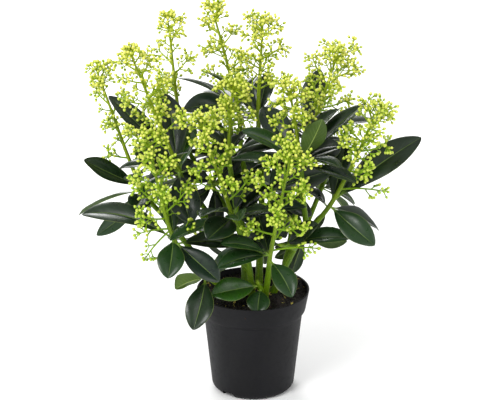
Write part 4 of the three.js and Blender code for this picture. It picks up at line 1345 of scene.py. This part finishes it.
class SoilSettings(bpy.types.PropertyGroup):
    rings: IntProperty(name="Rings", description="Rings of corners from the middle to the pot",
                       default=60, min=10, max=120)
    roughness: length_property("Lumps", "Height of the peat's small lumps", 1.5, 0, 4)
    seed: IntProperty(name="Seed", description="Where the crumbs lie", default=4, min=0)


class WoodSettings(bpy.types.PropertyGroup):
    colour: colour_property("Bark", "Colour of the young bark", "#88a524")
    ring_spacing: length_property("Ring spacing", "Length of limb between its rings", 2.2, 1, 10)
    scar: length_property("Leaf scars", "Height of the ridges where leaves were shed", 0.55, 0, 1.5)


class LeafSettings(bpy.types.PropertyGroup):
    upper: colour_property("Upper side", "Colour that mottles the upper side", "#1a3216")
    lower: colour_property("Underside", "Colour that mottles the underside", "#4b6232")
    midrib: colour_property("Midrib", "Colour of the midrib from above", "#6c8440")
    thickness: length_property("Thickness", "Thickness of the blade", 0.5, 0.2, 1)


class FlowerSettings(bpy.types.PropertyGroup):
    bud: colour_property("Buds", "Main colour of the buds", "#e6e46c")
    calyx: colour_property("Calyx", "Colour of the foot of a bud", "#86a814")
    stalk: colour_property("Stalks", "Colour of the flower stalks", "#82aa12")
    bud_length: length_property("Bud length", "Length of one bud", 4.1, 2, 8)
    bud_width: length_property("Bud width", "Width of one bud", 3.6, 1, 6)


class StageSettings(bpy.types.PropertyGroup):
    floor: colour_property("Floor", "Colour of the floor", "#f4f4f4")
    lens: FloatProperty(name="Lens", description="Focal length in millimetres", default=149.47,
                        min=20, max=300)


# ---- Pot and soil ----


ROUND_POINTS = 5                  # of each rounded corner, and of the foot's larger rounding
FOOT_POINTS = 9


def rounded(corner, before, after, radius):
    """The points of a round corner of a profile."""
    corner, before, after = (np.array(p, float) for p in (corner, before, after))
    start = corner + unit(before - corner) * radius
    end = corner + unit(after - corner) * radius
    shares = np.linspace(0, 1, ROUND_POINTS)[:, None]
    return (mix(mix(start, corner, shares), mix(corner, end, shares), shares)).tolist()


def pot_profile(lip):
    """Radius and height of the pot's section, from the middle of its underside to its inner floor."""
    band_foot = POT_HEIGHT - BAND_HEIGHT
    shoulder = band_foot - STEP_HEIGHT
    foot = [(FOOT_RADIUS - FOOT_ROUND * (1 - math.sin(a)), FOOT_ROUND * (1 - math.cos(a)))
            for a in np.linspace(0, math.pi / 2, FOOT_POINTS)]
    corners = [                   # with the radius of their rounding, but for the first and last
        (foot[-1], None),
        ((SHOULDER_RADIUS, shoulder), 2.2), ((BAND_FOOT_RADIUS, band_foot), 2.2),
        ((RIM_RADIUS, POT_HEIGHT), lip), ((RIM_RADIUS - WALL, POT_HEIGHT), lip),
        ((BAND_FOOT_RADIUS - WALL, band_foot), 1.2), ((SHOULDER_RADIUS - WALL, shoulder), 1.2),
        ((FOOT_RADIUS - WALL, FLOOR), 1.5),
        ((0, FLOOR), None),
    ]
    wall = [point for before, (corner, radius), after in zip(corners, corners[1:], corners[2:])
            for point in rounded(corner, before[0], after[0], radius)]
    return [(0, 0), *foot, *wall, (0, FLOOR)]


def lathed(name, profile, segments):
    """A closed mesh turned from a profile that starts and ends on the axis."""
    turns = round_turns(segments)
    rows = np.array(profile[1:-1])
    radius, height = rows[:, 0, None], rows[:, 1, None]
    rings = np.stack([radius * np.cos(turns), radius * np.sin(turns), height + 0 * turns], 2)
    corners = np.vstack([rings.reshape(-1, 3), [(0, 0, profile[0][1]), (0, 0, profile[-1][1])]])
    faces = [face for part in tube_faces(len(rows), segments) for face in part.tolist()]
    mesh = bpy.data.meshes.new(name)
    mesh.from_pydata((corners * MM).tolist(), [], faces)
    return mesh


def notch_cutter(bearing):
    """A block that cuts a drainage notch with rounded corners into the pot's bottom edge."""
    work = bmesh.new()
    bmesh.ops.create_cube(work, size=1)
    size = (2 * NOTCH_DEPTH * MM, NOTCH_WIDTH * MM, 2 * NOTCH_HEIGHT * MM)
    bmesh.ops.scale(work, vec=size, verts=work.verts)
    inward = [edge for edge in work.edges if abs(edge.verts[0].co.x - edge.verts[1].co.x) > MM]
    bmesh.ops.bevel(work, geom=inward, offset=NOTCH_ROUND * MM, segments=4, profile=0.5,
                    affect="EDGES")
    bmesh.ops.translate(work, vec=(FOOT_RADIUS * MM, 0, 0), verts=work.verts)
    mesh = bpy.data.meshes.new("notch_blank")
    work.to_mesh(mesh)
    work.free()
    cutter = new_object("notch_blank", mesh)
    cutter.rotation_euler.z = math.radians(bearing)
    return cutter


class SKIMMIA_OT_pot(bpy.types.Operator):
    """Turns the pot with its rolled rim and cuts the drainage notches in its bottom edge"""

    bl_idname = "skimmia.pot"
    bl_label = "Pot"

    def execute(self, context):
        settings = context.scene.skimmia_pot
        profile = pot_profile(settings.lip / MM)
        shell = new_object("pot_blank", lathed("pot_shell", profile, settings.segments))
        cutters = [notch_cutter(NOTCH_BEARING + 360 / NOTCHES * i) for i in range(NOTCHES)]
        for cutter in cutters:
            cut = shell.modifiers.new("notch", "BOOLEAN")
            cut.operation = "DIFFERENCE"
            cut.solver = "EXACT"
            cut.object = cutter
        whole = applied_mesh(shell, *cutters)
        whole.materials.clear()
        whole.materials.append(plastic_material(settings))
        settle(finished(whole, "pot_shell", sharp=38), "pot_plastic", "pot")
        return {"FINISHED"}


def soil_height(x, y, lumps):
    """Height of the peat: level round the stems, lumpy beyond, low at the rim, heaped at one side.
    All but its crumbs is as in the solid."""
    radius = math.hypot(x, y)
    bearing = math.atan2(x, -y)
    outward = min(max((radius - SOIL_LEVEL_RADIUS) / (RIM_RADIUS - SOIL_LEVEL_RADIUS), 0), 1)
    lump = math.sin(3 * bearing + 1) * math.cos(5 * bearing + radius / 6)
    lump += 0.5 * math.sin(8 * bearing)
    height = mix(SOIL_HEIGHT, SOIL_EDGE, outward) + SOIL_LUMP * lump * math.sin(math.pi * outward)
    from_heap = math.hypot(x - HEAP.at[0], y - HEAP.at[1]) / HEAP.spread
    height += HEAP.height * math.exp(-from_heap ** 2) * min(1, 3 * outward)
    crumbs = noise.fractal(Vector((x / SOIL_CRUMB, y / SOIL_CRUMB, 0)), *SOIL_FRACTAL)
    return height + lumps * crumbs


class SKIMMIA_OT_soil(bpy.types.Operator):
    """Fills the pot with peat whose surface is lumpy, lower at the rim and heaped at one side"""

    bl_idname = "skimmia.soil"
    bl_label = "Soil"

    def execute(self, context):
        settings = context.scene.skimmia_soil
        inset = WALL + GAP
        band_foot = POT_HEIGHT - BAND_HEIGHT
        edge = mix(BAND_FOOT_RADIUS, RIM_RADIUS, (SOIL_EDGE - band_foot) / BAND_HEIGHT) - inset
        top = [(edge * (1 - i / settings.rings), SOIL_HEIGHT) for i in range(settings.rings)]
        profile = [(0, FLOOR + GAP), (FOOT_RADIUS - inset, FLOOR + GAP),
                   (SHOULDER_RADIUS - inset, band_foot - STEP_HEIGHT),
                   (BAND_FOOT_RADIUS - inset, band_foot), (edge, SOIL_EDGE - 4),
                   *top, (0, SOIL_HEIGHT)]
        mesh = lathed("peat", profile, segments=160)
        for vertex in mesh.vertices:
            if vertex.co.z / MM > SOIL_HEIGHT - 1:
                x, y = vertex.co.x / MM, vertex.co.y / MM
                vertex.co.z = soil_height(x, y, settings.roughness / MM) * MM
        mesh.materials.append(peat_material("moist_peat", "#080605", "#241a12", 3.0))
        settle(finished(mesh, "peat", sharp=80), "potting_soil", "soil")
        return {"FINISHED"}


# Name, shape, number on a square metre, smallest and largest size, and colours.
LUMP_KINDS = (
    ("peat_crumbs", (1, 0.85, 0.7), 62000, 1.2, 4.6, ("#080605", "#1e1610")),
    ("bark_chips", (1.7, 1.0, 0.3), 3600, 1.8, 5.4, ("#1c130e", "#4c3420")),
    ("straw_fibres", (2.1, 0.7, 0.25), 6200, 1.6, 4.4, ("#a08a34", "#e6d878")),
)
LUMP_GRAIN = 1.5
LUMP_ROUGHNESS = 0.3
LUMP_SLOPE = 0.3                  # they lie where the surface faces up by more than this
FULL_TURN = (6.283, 6.283, 6.283)


def lump_blank(name, shape, seed):
    """A rough lump one unit wide, pulled to its kind's shape."""
    draw = seeded_draws(seed)
    work = bmesh.new()
    bmesh.ops.create_icosphere(work, subdivisions=1, radius=0.5)
    for vertex in work.verts:
        vertex.co *= around(draw, 1, LUMP_ROUGHNESS)
    bmesh.ops.scale(work, vec=shape, verts=work.verts)
    mesh = bpy.data.meshes.new(name)
    work.to_mesh(mesh)
    work.free()
    return new_object(name, mesh)


def scatter_tree():
    """Geometry nodes that lay lumps on top of a mesh, at random but always in the same places."""
    tree = bpy.data.node_groups.new("scattered_lumps", "GeometryNodeTree")
    add = functools.partial(add_node, tree)
    for name, kind in (("Geometry", "Geometry"), ("Lump", "Object"), ("Density", "Float"),
                       ("Smallest", "Float"), ("Largest", "Float"), ("Seed", "Int"),
                       ("Material", "Material")):
        tree.interface.new_socket(name, in_out="INPUT", socket_type="NodeSocket" + kind)
    tree.interface.new_socket("Geometry", in_out="OUTPUT", socket_type="NodeSocketGeometry")

    given = add("NodeGroupInput").outputs
    facing = add("SeparateXYZ", (add("GeometryNodeInputNormal"),)).outputs[2]
    upward = add("Math", (facing, LUMP_SLOPE), operation="GREATER_THAN")
    seed = given["Seed"]
    points = add("GeometryNodeDistributePointsOnFaces", {
        "Mesh": given["Geometry"], "Selection": upward, "Density": given["Density"], "Seed": seed})
    turn = add("FunctionNodeRandomValue", {"Min": (0, 0, 0), "Max": FULL_TURN, "Seed": seed},
               data_type="FLOAT_VECTOR")
    size = add("FunctionNodeRandomValue", {
        "Min": given["Smallest"], "Max": given["Largest"], "Seed": seed}, data_type="FLOAT")
    lump = add("GeometryNodeObjectInfo", {"Object": given["Lump"]}).outputs["Geometry"]
    laid = add("GeometryNodeInstanceOnPoints", {
        "Points": points, "Instance": lump, "Rotation": turn, "Scale": size})
    real = add("GeometryNodeRealizeInstances", (laid,))
    dressed = add("GeometryNodeSetMaterial", {"Geometry": real, "Material": given["Material"]})
    add("NodeGroupOutput", (dressed,))
    return tree


class SKIMMIA_OT_crumbs(bpy.types.Operator):
    """Scatters peat crumbs, bark chips and straw-coloured fibres over the soil"""

    bl_idname = "skimmia.crumbs"
    bl_label = "Crumbs"

    def execute(self, context):
        settings = context.scene.skimmia_soil
        soil = bpy.data.objects["peat"]
        tree = scatter_tree()
        keys = {item.name: item.identifier for item in tree.interface.items_tree
                if item.in_out == "INPUT"}
        for seed, row in enumerate(LUMP_KINDS, settings.seed):
            name, shape, density, smallest, largest, colours = row
            blank = lump_blank(name + "_blank", shape, seed)
            base = new_object(name + "_base", soil.data)
            scatter = base.modifiers.new("scatter", "NODES")
            scatter.node_group = tree
            matter = peat_material(name.replace("_", " ") + " matter", *colours, LUMP_GRAIN)
            values = {"Lump": blank, "Density": float(density), "Smallest": smallest * MM,
                      "Largest": largest * MM, "Seed": seed, "Material": matter}
            for key, value in values.items():
                scatter[keys[key]] = value
            mesh = applied_mesh(base, blank)
            if not mesh.polygons:
                raise RuntimeError(f"no {name} were scattered")
            settle(finished(mesh, name, sharp=40), "potting_soil")
        return {"FINISHED"}


# ---- Limbs ----

LIMB_SIDES = 16
SCAR_SPACING = 13.0               # along the limb, between the scars of shed leaves
SCAR_WIDTH = 1.3
SCAR_REACH = 0.3                  # how far round the limb a scar runs: 0 is half way
RIDGE = 0.1                       # height of the fine ridges along young bark
COLLAR = 0.9                      # swelling where a bough leaves its parent
COLLAR_LENGTH = 5.0


def limb_relief(path, t, turns, scar):
    """How far the bark stands out from the plain limb, round one ring: scars in the order that the
    leaves stood in, ridges that run along it a little askew, and a collar at a bough's foot."""
    run = t / path.share_of(t, 1)
    number = round(run / SCAR_SPACING)
    off = (run - number * SCAR_SPACING) / SCAR_WIDTH
    facing = np.cos(turns - math.radians(GOLDEN_ANGLE * number + path.shoot["turn"]))
    scars = scar * math.exp(-off ** 2) * np.clip(facing + SCAR_REACH, 0, 1)
    ridges = RIDGE * np.cos(5 * turns + 3 * t) * np.cos(2 * turns - 11 * t)
    swelling = 0 if path.is_stem else COLLAR * math.exp(-(run / COLLAR_LENGTH - 1) ** 2)
    return scars + ridges + swelling


def add_limb(shapes, path, start, end, settings):
    """A stretch of a shoot's limb, with its bark's relief, which fades out towards the tip."""
    spacing = path.share_of((start + end) / 2, settings.ring_spacing / MM)
    shares = np.linspace(start, end, max(3, math.ceil((end - start) / spacing)))
    turns = round_turns(LIMB_SIDES)
    ahead = np.array([path.direction(t) for t in shares])
    across = np.cross([0, 1.0, 0], ahead)
    across /= np.linalg.norm(across, axis=1, keepdims=True)
    scar = settings.scar / MM
    radii = np.array([path.radius(t) + limb_relief(path, t, turns, scar * min(1, 6 * (1 - t)))
                      for t in shares])
    shapes.add_tube(path.points_at(shares), across, ahead, radii, shares, painted_sun_cell(path.at(1)))


class SKIMMIA_OT_limbs(bpy.types.Operator):
    """Grows the stems, boughs, leafy stretches and flower axes, with their bark's relief"""

    bl_idname = "skimmia.limbs"
    bl_label = "Limbs"

    def execute(self, context):
        settings = context.scene.skimmia_wood
        bark = bark_material(settings)
        paths = grown_plant().paths.values()
        stems = [p for p in paths if p.is_stem]
        boughs = [p for p in paths if p.has_head and not p.is_stem]
        kinds = (
            ("stems", nodes_like("stem_"), [(p, 0, p.whorl_start) for p in stems]),
            ("boughs", nodes_like("bough_"), [(p, 0, p.whorl_start) for p in boughs]),
            ("leafy_stems", [], [(p, p.whorl_start, p.whorl_end) for p in paths]),
            ("flower_axes", [], [(p, p.whorl_end, 1) for p in paths if p.has_head]),
        )
        for name, nodes, stretches in kinds:
            shapes = Shapes()
            for path, start, end in stretches:
                add_limb(shapes, path, start, end, settings)
            settle(shapes.piece(name, bark), "green_wood", *nodes)
        return {"FINISHED"}


# ---- Leaves ----

LEAF_SHARES = np.array([0, 0.05, 0.1, 0.14, 0.2, 0.28, 0.37, 0.46, 0.55, 0.64, 0.73, 0.81, 0.88, 0.94,
                        0.98])
LEAF_SIDES = np.array([-1, -0.94, -0.62, -0.3, -0.07, 0, 0.07, 0.3, 0.62, 0.94, 1])
PETIOLE_THICKNESS = 1.7
THICK_TO = 0.16                   # share of a leaf in which it thins from petiole to blade
EDGE_WAVE = (0.05, 0.03)          # height of the waves at the edges, in half widths
EDGE_WAVES = (1.3, 0.4)           # how many of them there are
LEAF_TWIST = 9.0
LEAF_SWAY = 0.035
PILLOW = 0.07
EDGE_CURL = (0.2, 0.12)
CURL_FROM = 0.5                   # share of half a blade beyond which its edge curls down
EDGE_THINNING = 0.98
GROOVE_DEPTH, GROOVE_WIDTH = 0.28, 0.09
GROOVE_BELOW = 0.4                # share of the groove that the underside follows
RIB_HEIGHT, RIB_WIDTH = 0.55, 0.08
PLAIN_TINTS = 3                   # the first tints, which are dealt out to leaves that have none


@functools.cache
def leaf_faces():
    """Faces of a leaf and their spots on its cell of the map, for the upper side and the rest."""
    rows, columns = len(LEAF_SHARES), len(LEAF_SIDES)
    upper = np.arange(rows * columns).reshape(rows, columns)
    lower = upper.copy()
    lower[:, 1:-1] = rows * columns + np.arange(rows * (columns - 2)).reshape(rows, columns - 2)
    tip = rows * columns + rows * (columns - 2)
    share = LEAF_SHARES[:, None] + 0 * LEAF_SIDES
    side = LEAF_SIDES[None] + 0 * share

    def quads(grid):
        around_each = [grid[:-1, :-1], grid[:-1, 1:], grid[1:, 1:], grid[1:, :-1]]
        return np.stack(around_each, 2).reshape(-1, 4)

    def ends(grid, last):
        return np.stack([grid[-1, :-1], grid[-1, 1:], np.full(columns - 1, last)], 1)

    quad_spots = np.stack([quads(side), quads(share)], 2)
    tip_spots = np.stack([ends(side, 0.0), ends(share, 1.0)], 2)
    root = np.stack([upper[0, 1:-2], lower[0, 1:-2], lower[0, 2:-1], upper[0, 2:-1]], 1)
    root_ends = np.array([[upper[0, 0], lower[0, 1], upper[0, 1]],
                          [upper[0, -1], upper[0, -2], lower[0, -2]]])
    top = [quads(upper), ends(upper, tip)]
    under = [quads(lower)[:, ::-1], ends(lower, tip)[:, ::-1], root, root_ends]
    root_spots = [np.zeros((*faces.shape, 2)) for faces in (root, root_ends)]
    under_spots = [quad_spots[:, ::-1], tip_spots[:, ::-1], *root_spots]
    return top, [quad_spots, tip_spots], under, under_spots


def spots_on_map(spots, tint, row):
    """Places on the leaf map, from a side between -1 and 1 and a share between 0 and 1."""
    inner = 1 - 2 * MAP_EDGE
    u = (tint + MAP_EDGE + inner * (spots[..., 0] + 1) / 2) / len(LEAF_TINTS)
    v = (row + MAP_EDGE + inner * spots[..., 1]) / 2
    return np.stack([u, v], -1)


def leaf_corners(leaf, thickness, draw):
    """A leaf's corners: pillowed from midrib to edge, grooved above the midrib, wavy at the edges."""
    share = LEAF_SHARES[:, None] + 0 * LEAF_SIDES
    side = LEAF_SIDES[None] + 0 * share
    half = half_widths(leaf, share)
    full = fullness(leaf, half)
    off = np.abs(side)
    wave_height = around(draw, *EDGE_WAVE)
    wave = wave_height * np.sin(2 * math.pi * (around(draw, *EDGE_WAVES) * share + draw()) + side)
    twist = math.radians(around(draw, 0, LEAF_TWIST)) * share
    sway = around(draw, 0, LEAF_SWAY) * leaf.arc.length * np.sin(math.pi * share)
    pillow = PILLOW * np.sin(math.pi * off)
    curl = around(draw, *EDGE_CURL) * np.clip(off - CURL_FROM, 0, 1) ** 2
    lift = half * (off * wave + pillow - curl) * full + side * half * np.sin(twist)
    groove = GROOVE_DEPTH * np.exp(-(off / GROOVE_WIDTH) ** 2) * full
    flat = blade_points(leaf, share, side) + sway[..., None] * leaf.arc.across
    normal = leaf.arc.at(share)[1]
    thinned = np.clip(share / THICK_TO, 0, 1)
    skin = mix(PETIOLE_THICKNESS, thickness, thinned) * np.sqrt(1 - off ** 2 * EDGE_THINNING)
    upper = flat + (lift + skin / 2 - groove)[..., None] * normal
    rib = RIB_HEIGHT * np.exp(-(off / RIB_WIDTH) ** 2) * (1 - share)
    lower = flat + (lift - skin / 2 - groove * GROOVE_BELOW - rib)[..., None] * normal
    edge = flat + lift[..., None] * normal
    upper[:, (0, -1)] = edge[:, (0, -1)]
    tip = leaf.arc.at(1.0)[0]
    return np.vstack([upper.reshape(-1, 3), lower[:, 1:-1].reshape(-1, 3), tip[None]])


class SKIMMIA_OT_leaves(bpy.types.Operator):
    """Grows the leaves: folded along a pale midrib, arched, with slightly waved edges"""

    bl_idname = "skimmia.leaves"
    bl_label = "Leaves"

    def execute(self, context):
        settings = context.scene.skimmia_leaves
        top, top_spots, under, under_spots = leaf_faces()
        draw = seeded_draws(LEAF_FORM_SEED)
        shapes = Shapes()
        for leaf in grown_plant().leaves:
            drawn_tint = int(draw() * PLAIN_TINTS)
            tint = drawn_tint if leaf.tint is None else leaf.tint
            spots = [spots_on_map(spot, tint, 1) for spot in top_spots]
            spots += [spots_on_map(spot, tint, 0) for spot in under_spots]
            shapes.add(leaf_corners(leaf, settings.thickness / MM, draw), top + under, spots)
        piece = shapes.piece("leaf_blades", leaf_material(settings), sharp=70)
        settle(piece, "leaves", *nodes_like("leaves_"))
        return {"FINISHED"}


# ---- Flower stalks and buds ----

BUD_SHARES = np.array([0.0, 0.12, 0.34, 0.62, 0.86, 1])
BUD_WIDTHS = np.array([0.42, 0.78, 1.0, 0.92, 0.52, 0.08])
BUD_SIZES = (0.86, 1.06)
BUD_SIDES = 7
BUD_HINT = (0.31, 0.83, 0.46)     # each bud's seams are set square to this
SIZE_DRAW = 37                    # makes a second draw, for a bud's size, out of its first
SHADE_FROM = 420.0                # height below which buds are painted greener and darker the lower they are, as painted shade
SHADE_PACE = 2.3                  # they are greenest at 1 - 1 / 2.3 of that height, and below
SHADE_SHARE = 0.55                # how much of a bud's tint comes from the painted shade of its height


def add_bud(buds, bud, length, width):
    """A closed bud: a tube that swells and ends in points, on its tint's cell of the map. Buds low on
    the plant are painted greener and darker, as painted shade."""
    root, direction, drawn = bud
    # Painted shade: the lower the bud, the further its tint moves to the darker green end.
    shaded = min(max(mix(SHADE_PACE, 0, root[2] / SHADE_FROM), 0), 1)
    tint = int(mix(drawn, shaded, SHADE_SHARE) * (BUD_TINTS - 0.01))
    across = unit(np.cross(direction, BUD_HINT))
    size = mix(*BUD_SIZES, drawn * SIZE_DRAW % 1)
    middles = root + direction * (length * size * BUD_SHARES[:, None])
    radii = BUD_WIDTHS[:, None] * np.full(BUD_SIDES, width * size / 2)
    across, ahead = (np.repeat(way[None], len(BUD_SHARES), 0) for way in (across, direction))
    buds.add_tube(middles, across, ahead, radii, BUD_SHARES, (tint, BUD_TINTS))


class SKIMMIA_OT_flowers(bpy.types.Operator):
    """Grows the flower heads: side branches that fork into small clusters of stalked buds"""

    bl_idname = "skimmia.flowers"
    bl_label = "Flower heads"

    def execute(self, context):
        settings = context.scene.skimmia_flowers
        length, width = settings.bud_length / MM, settings.bud_width / MM
        green = stalk_material(settings)
        petals = bud_material(settings)
        plant = grown_plant()
        parts = {part: (Shapes(), Shapes()) for part in ("left", "right", "rear")}
        for name, bloom in plant.blooms.items():
            tip = plant.paths[name].shoot["tip"]
            part = "rear" if tip[1] > REAR_FROM else "left" if tip[0] < 0 else "right"
            stalks, buds = parts[part]
            for stalk in bloom.stalks:
                add_stalk(stalks, stalk)
            for bud in bloom.buds:
                add_bud(buds, bud, length, width)
        for part, (stalks, buds) in parts.items():
            replaced = nodes_like("flowers_") if part == "left" else []
            settle(stalks.piece("flower_stalks_" + part, green), "flower_buds", *replaced)
            settle(buds.piece("flower_buds_" + part, petals, sharp=75), "flower_buds")
        return {"FINISHED"}


# ---- Stage ----

CAMERA_PLACE = (-3.5, -2200.0, 1064.0)
CAMERA_TARGET = (-3.5, 0.0, 229.6)
FLOOR_SIZE = 16.0                 # the floor and the lights are in metres and watts
LIGHT_TARGET = (0, 0, 0.25)
LIGHTS = (  # name, place, width and power
    ("key_light", (-1.3, -1.7, 2.1), 1.4, 52),
    ("fill_light", (1.9, -1.2, 1.1), 1.6, 12),
    ("rim_light", (-0.5, 2.0, 1.5), 1.6, 48),
)
SKY_STRENGTH = 0.68


def place_facing(piece, place, target):
    """Puts a light or camera at a place and turns it to a target."""
    piece.location = place
    piece.rotation_euler = (Vector(target) - Vector(place)).to_track_quat("-Z", "Y").to_euler()


class SKIMMIA_OT_stage(bpy.types.Operator):
    """Lays the pale floor and sets the soft lights, the camera and the sky"""

    bl_idname = "skimmia.stage"
    bl_label = "Stage"

    def execute(self, context):
        scene = context.scene
        settings = scene.skimmia_stage
        mesh = bpy.data.meshes.new("studio_floor")
        half = FLOOR_SIZE / 2
        corners = [(-half, -half, 0), (half, -half, 0), (half, half, 0), (-half, half, 0)]
        mesh.from_pydata(corners, [], [(0, 1, 2, 3)])
        material, add = new_material("matte_paper_floor")
        place = add("TexCoord").outputs["Object"]
        grain = add("TexNoise", {"Vector": place, "Scale": 40, "Detail": 3})
        share = add("MapRange", (grain, 0.3, 0.7, 0, 0.05))
        colour = add("Mix", (share, settings.floor, linear("#e6e6e6")), data_type="RGBA")
        surface(add, {"Base Color": colour, "Roughness": 0.9})
        mesh.materials.append(material)
        new_object("studio_floor", mesh)

        scene.world = bpy.data.worlds.new("soft_white_room")
        scene.world.use_nodes = True
        background = scene.world.node_tree.nodes["Background"].inputs
        background["Color"].default_value = linear("#ffffff")
        background["Strength"].default_value = SKY_STRENGTH
        for name, place, size, power in LIGHTS:
            light = bpy.data.lights.new(name, "AREA")
            light.shape = "DISK"
            light.size = size
            light.energy = power
            place_facing(new_object(name, light), place, LIGHT_TARGET)

        camera = bpy.data.cameras.new("camera")
        camera.lens = settings.lens
        camera.sensor_width = 36
        camera.clip_end = 50
        scene.camera = new_object("camera", camera)
        place_facing(scene.camera, Vector(CAMERA_PLACE) * MM, Vector(CAMERA_TARGET) * MM)
        scene.view_settings.view_transform = "Standard"
        scene.view_settings.look = "None"
        return {"FINISHED"}


# ---- Panel and registration ----

OPERATORS = (SKIMMIA_OT_stage, SKIMMIA_OT_pot, SKIMMIA_OT_soil, SKIMMIA_OT_crumbs, SKIMMIA_OT_limbs,
             SKIMMIA_OT_leaves, SKIMMIA_OT_flowers)
SETTINGS = (("skimmia_pot", PotSettings), ("skimmia_soil", SoilSettings),
            ("skimmia_wood", WoodSettings), ("skimmia_leaves", LeafSettings),
            ("skimmia_flowers", FlowerSettings), ("skimmia_stage", StageSettings))


class SKIMMIA_PT_panel(bpy.types.Panel):
    """Lists the plant's pieces and their settings"""

    bl_idname = "SKIMMIA_PT_panel"
    bl_label = "Skimmia"
    bl_space_type = "VIEW_3D"
    bl_region_type = "UI"
    bl_category = "Skimmia"

    def draw(self, context):
        for operator in OPERATORS:
            self.layout.operator(operator.bl_idname)
        for name, group in SETTINGS:
            box = self.layout.box()
            for key in group.__annotations__:
                box.prop(getattr(context.scene, name), key)


def register():
    for name, group in SETTINGS:
        bpy.utils.register_class(group)
        setattr(bpy.types.Scene, name, PointerProperty(type=group))
    for operator in OPERATORS:
        bpy.utils.register_class(operator)
    bpy.utils.register_class(SKIMMIA_PT_panel)


def unregister():
    bpy.utils.unregister_class(SKIMMIA_PT_panel)
    for operator in reversed(OPERATORS):
        bpy.utils.unregister_class(operator)
    for name, group in reversed(SETTINGS):
        delattr(bpy.types.Scene, name)
        bpy.utils.unregister_class(group)


def main():
    register()
    bpy.ops.skimmia.stage()
    bpy.ops.skimmia.pot()
    bpy.ops.skimmia.soil()
    bpy.ops.skimmia.crumbs()
    bpy.ops.skimmia.limbs()
    bpy.ops.skimmia.leaves()
    bpy.ops.skimmia.flowers()


if __name__ == "__main__":
    main()
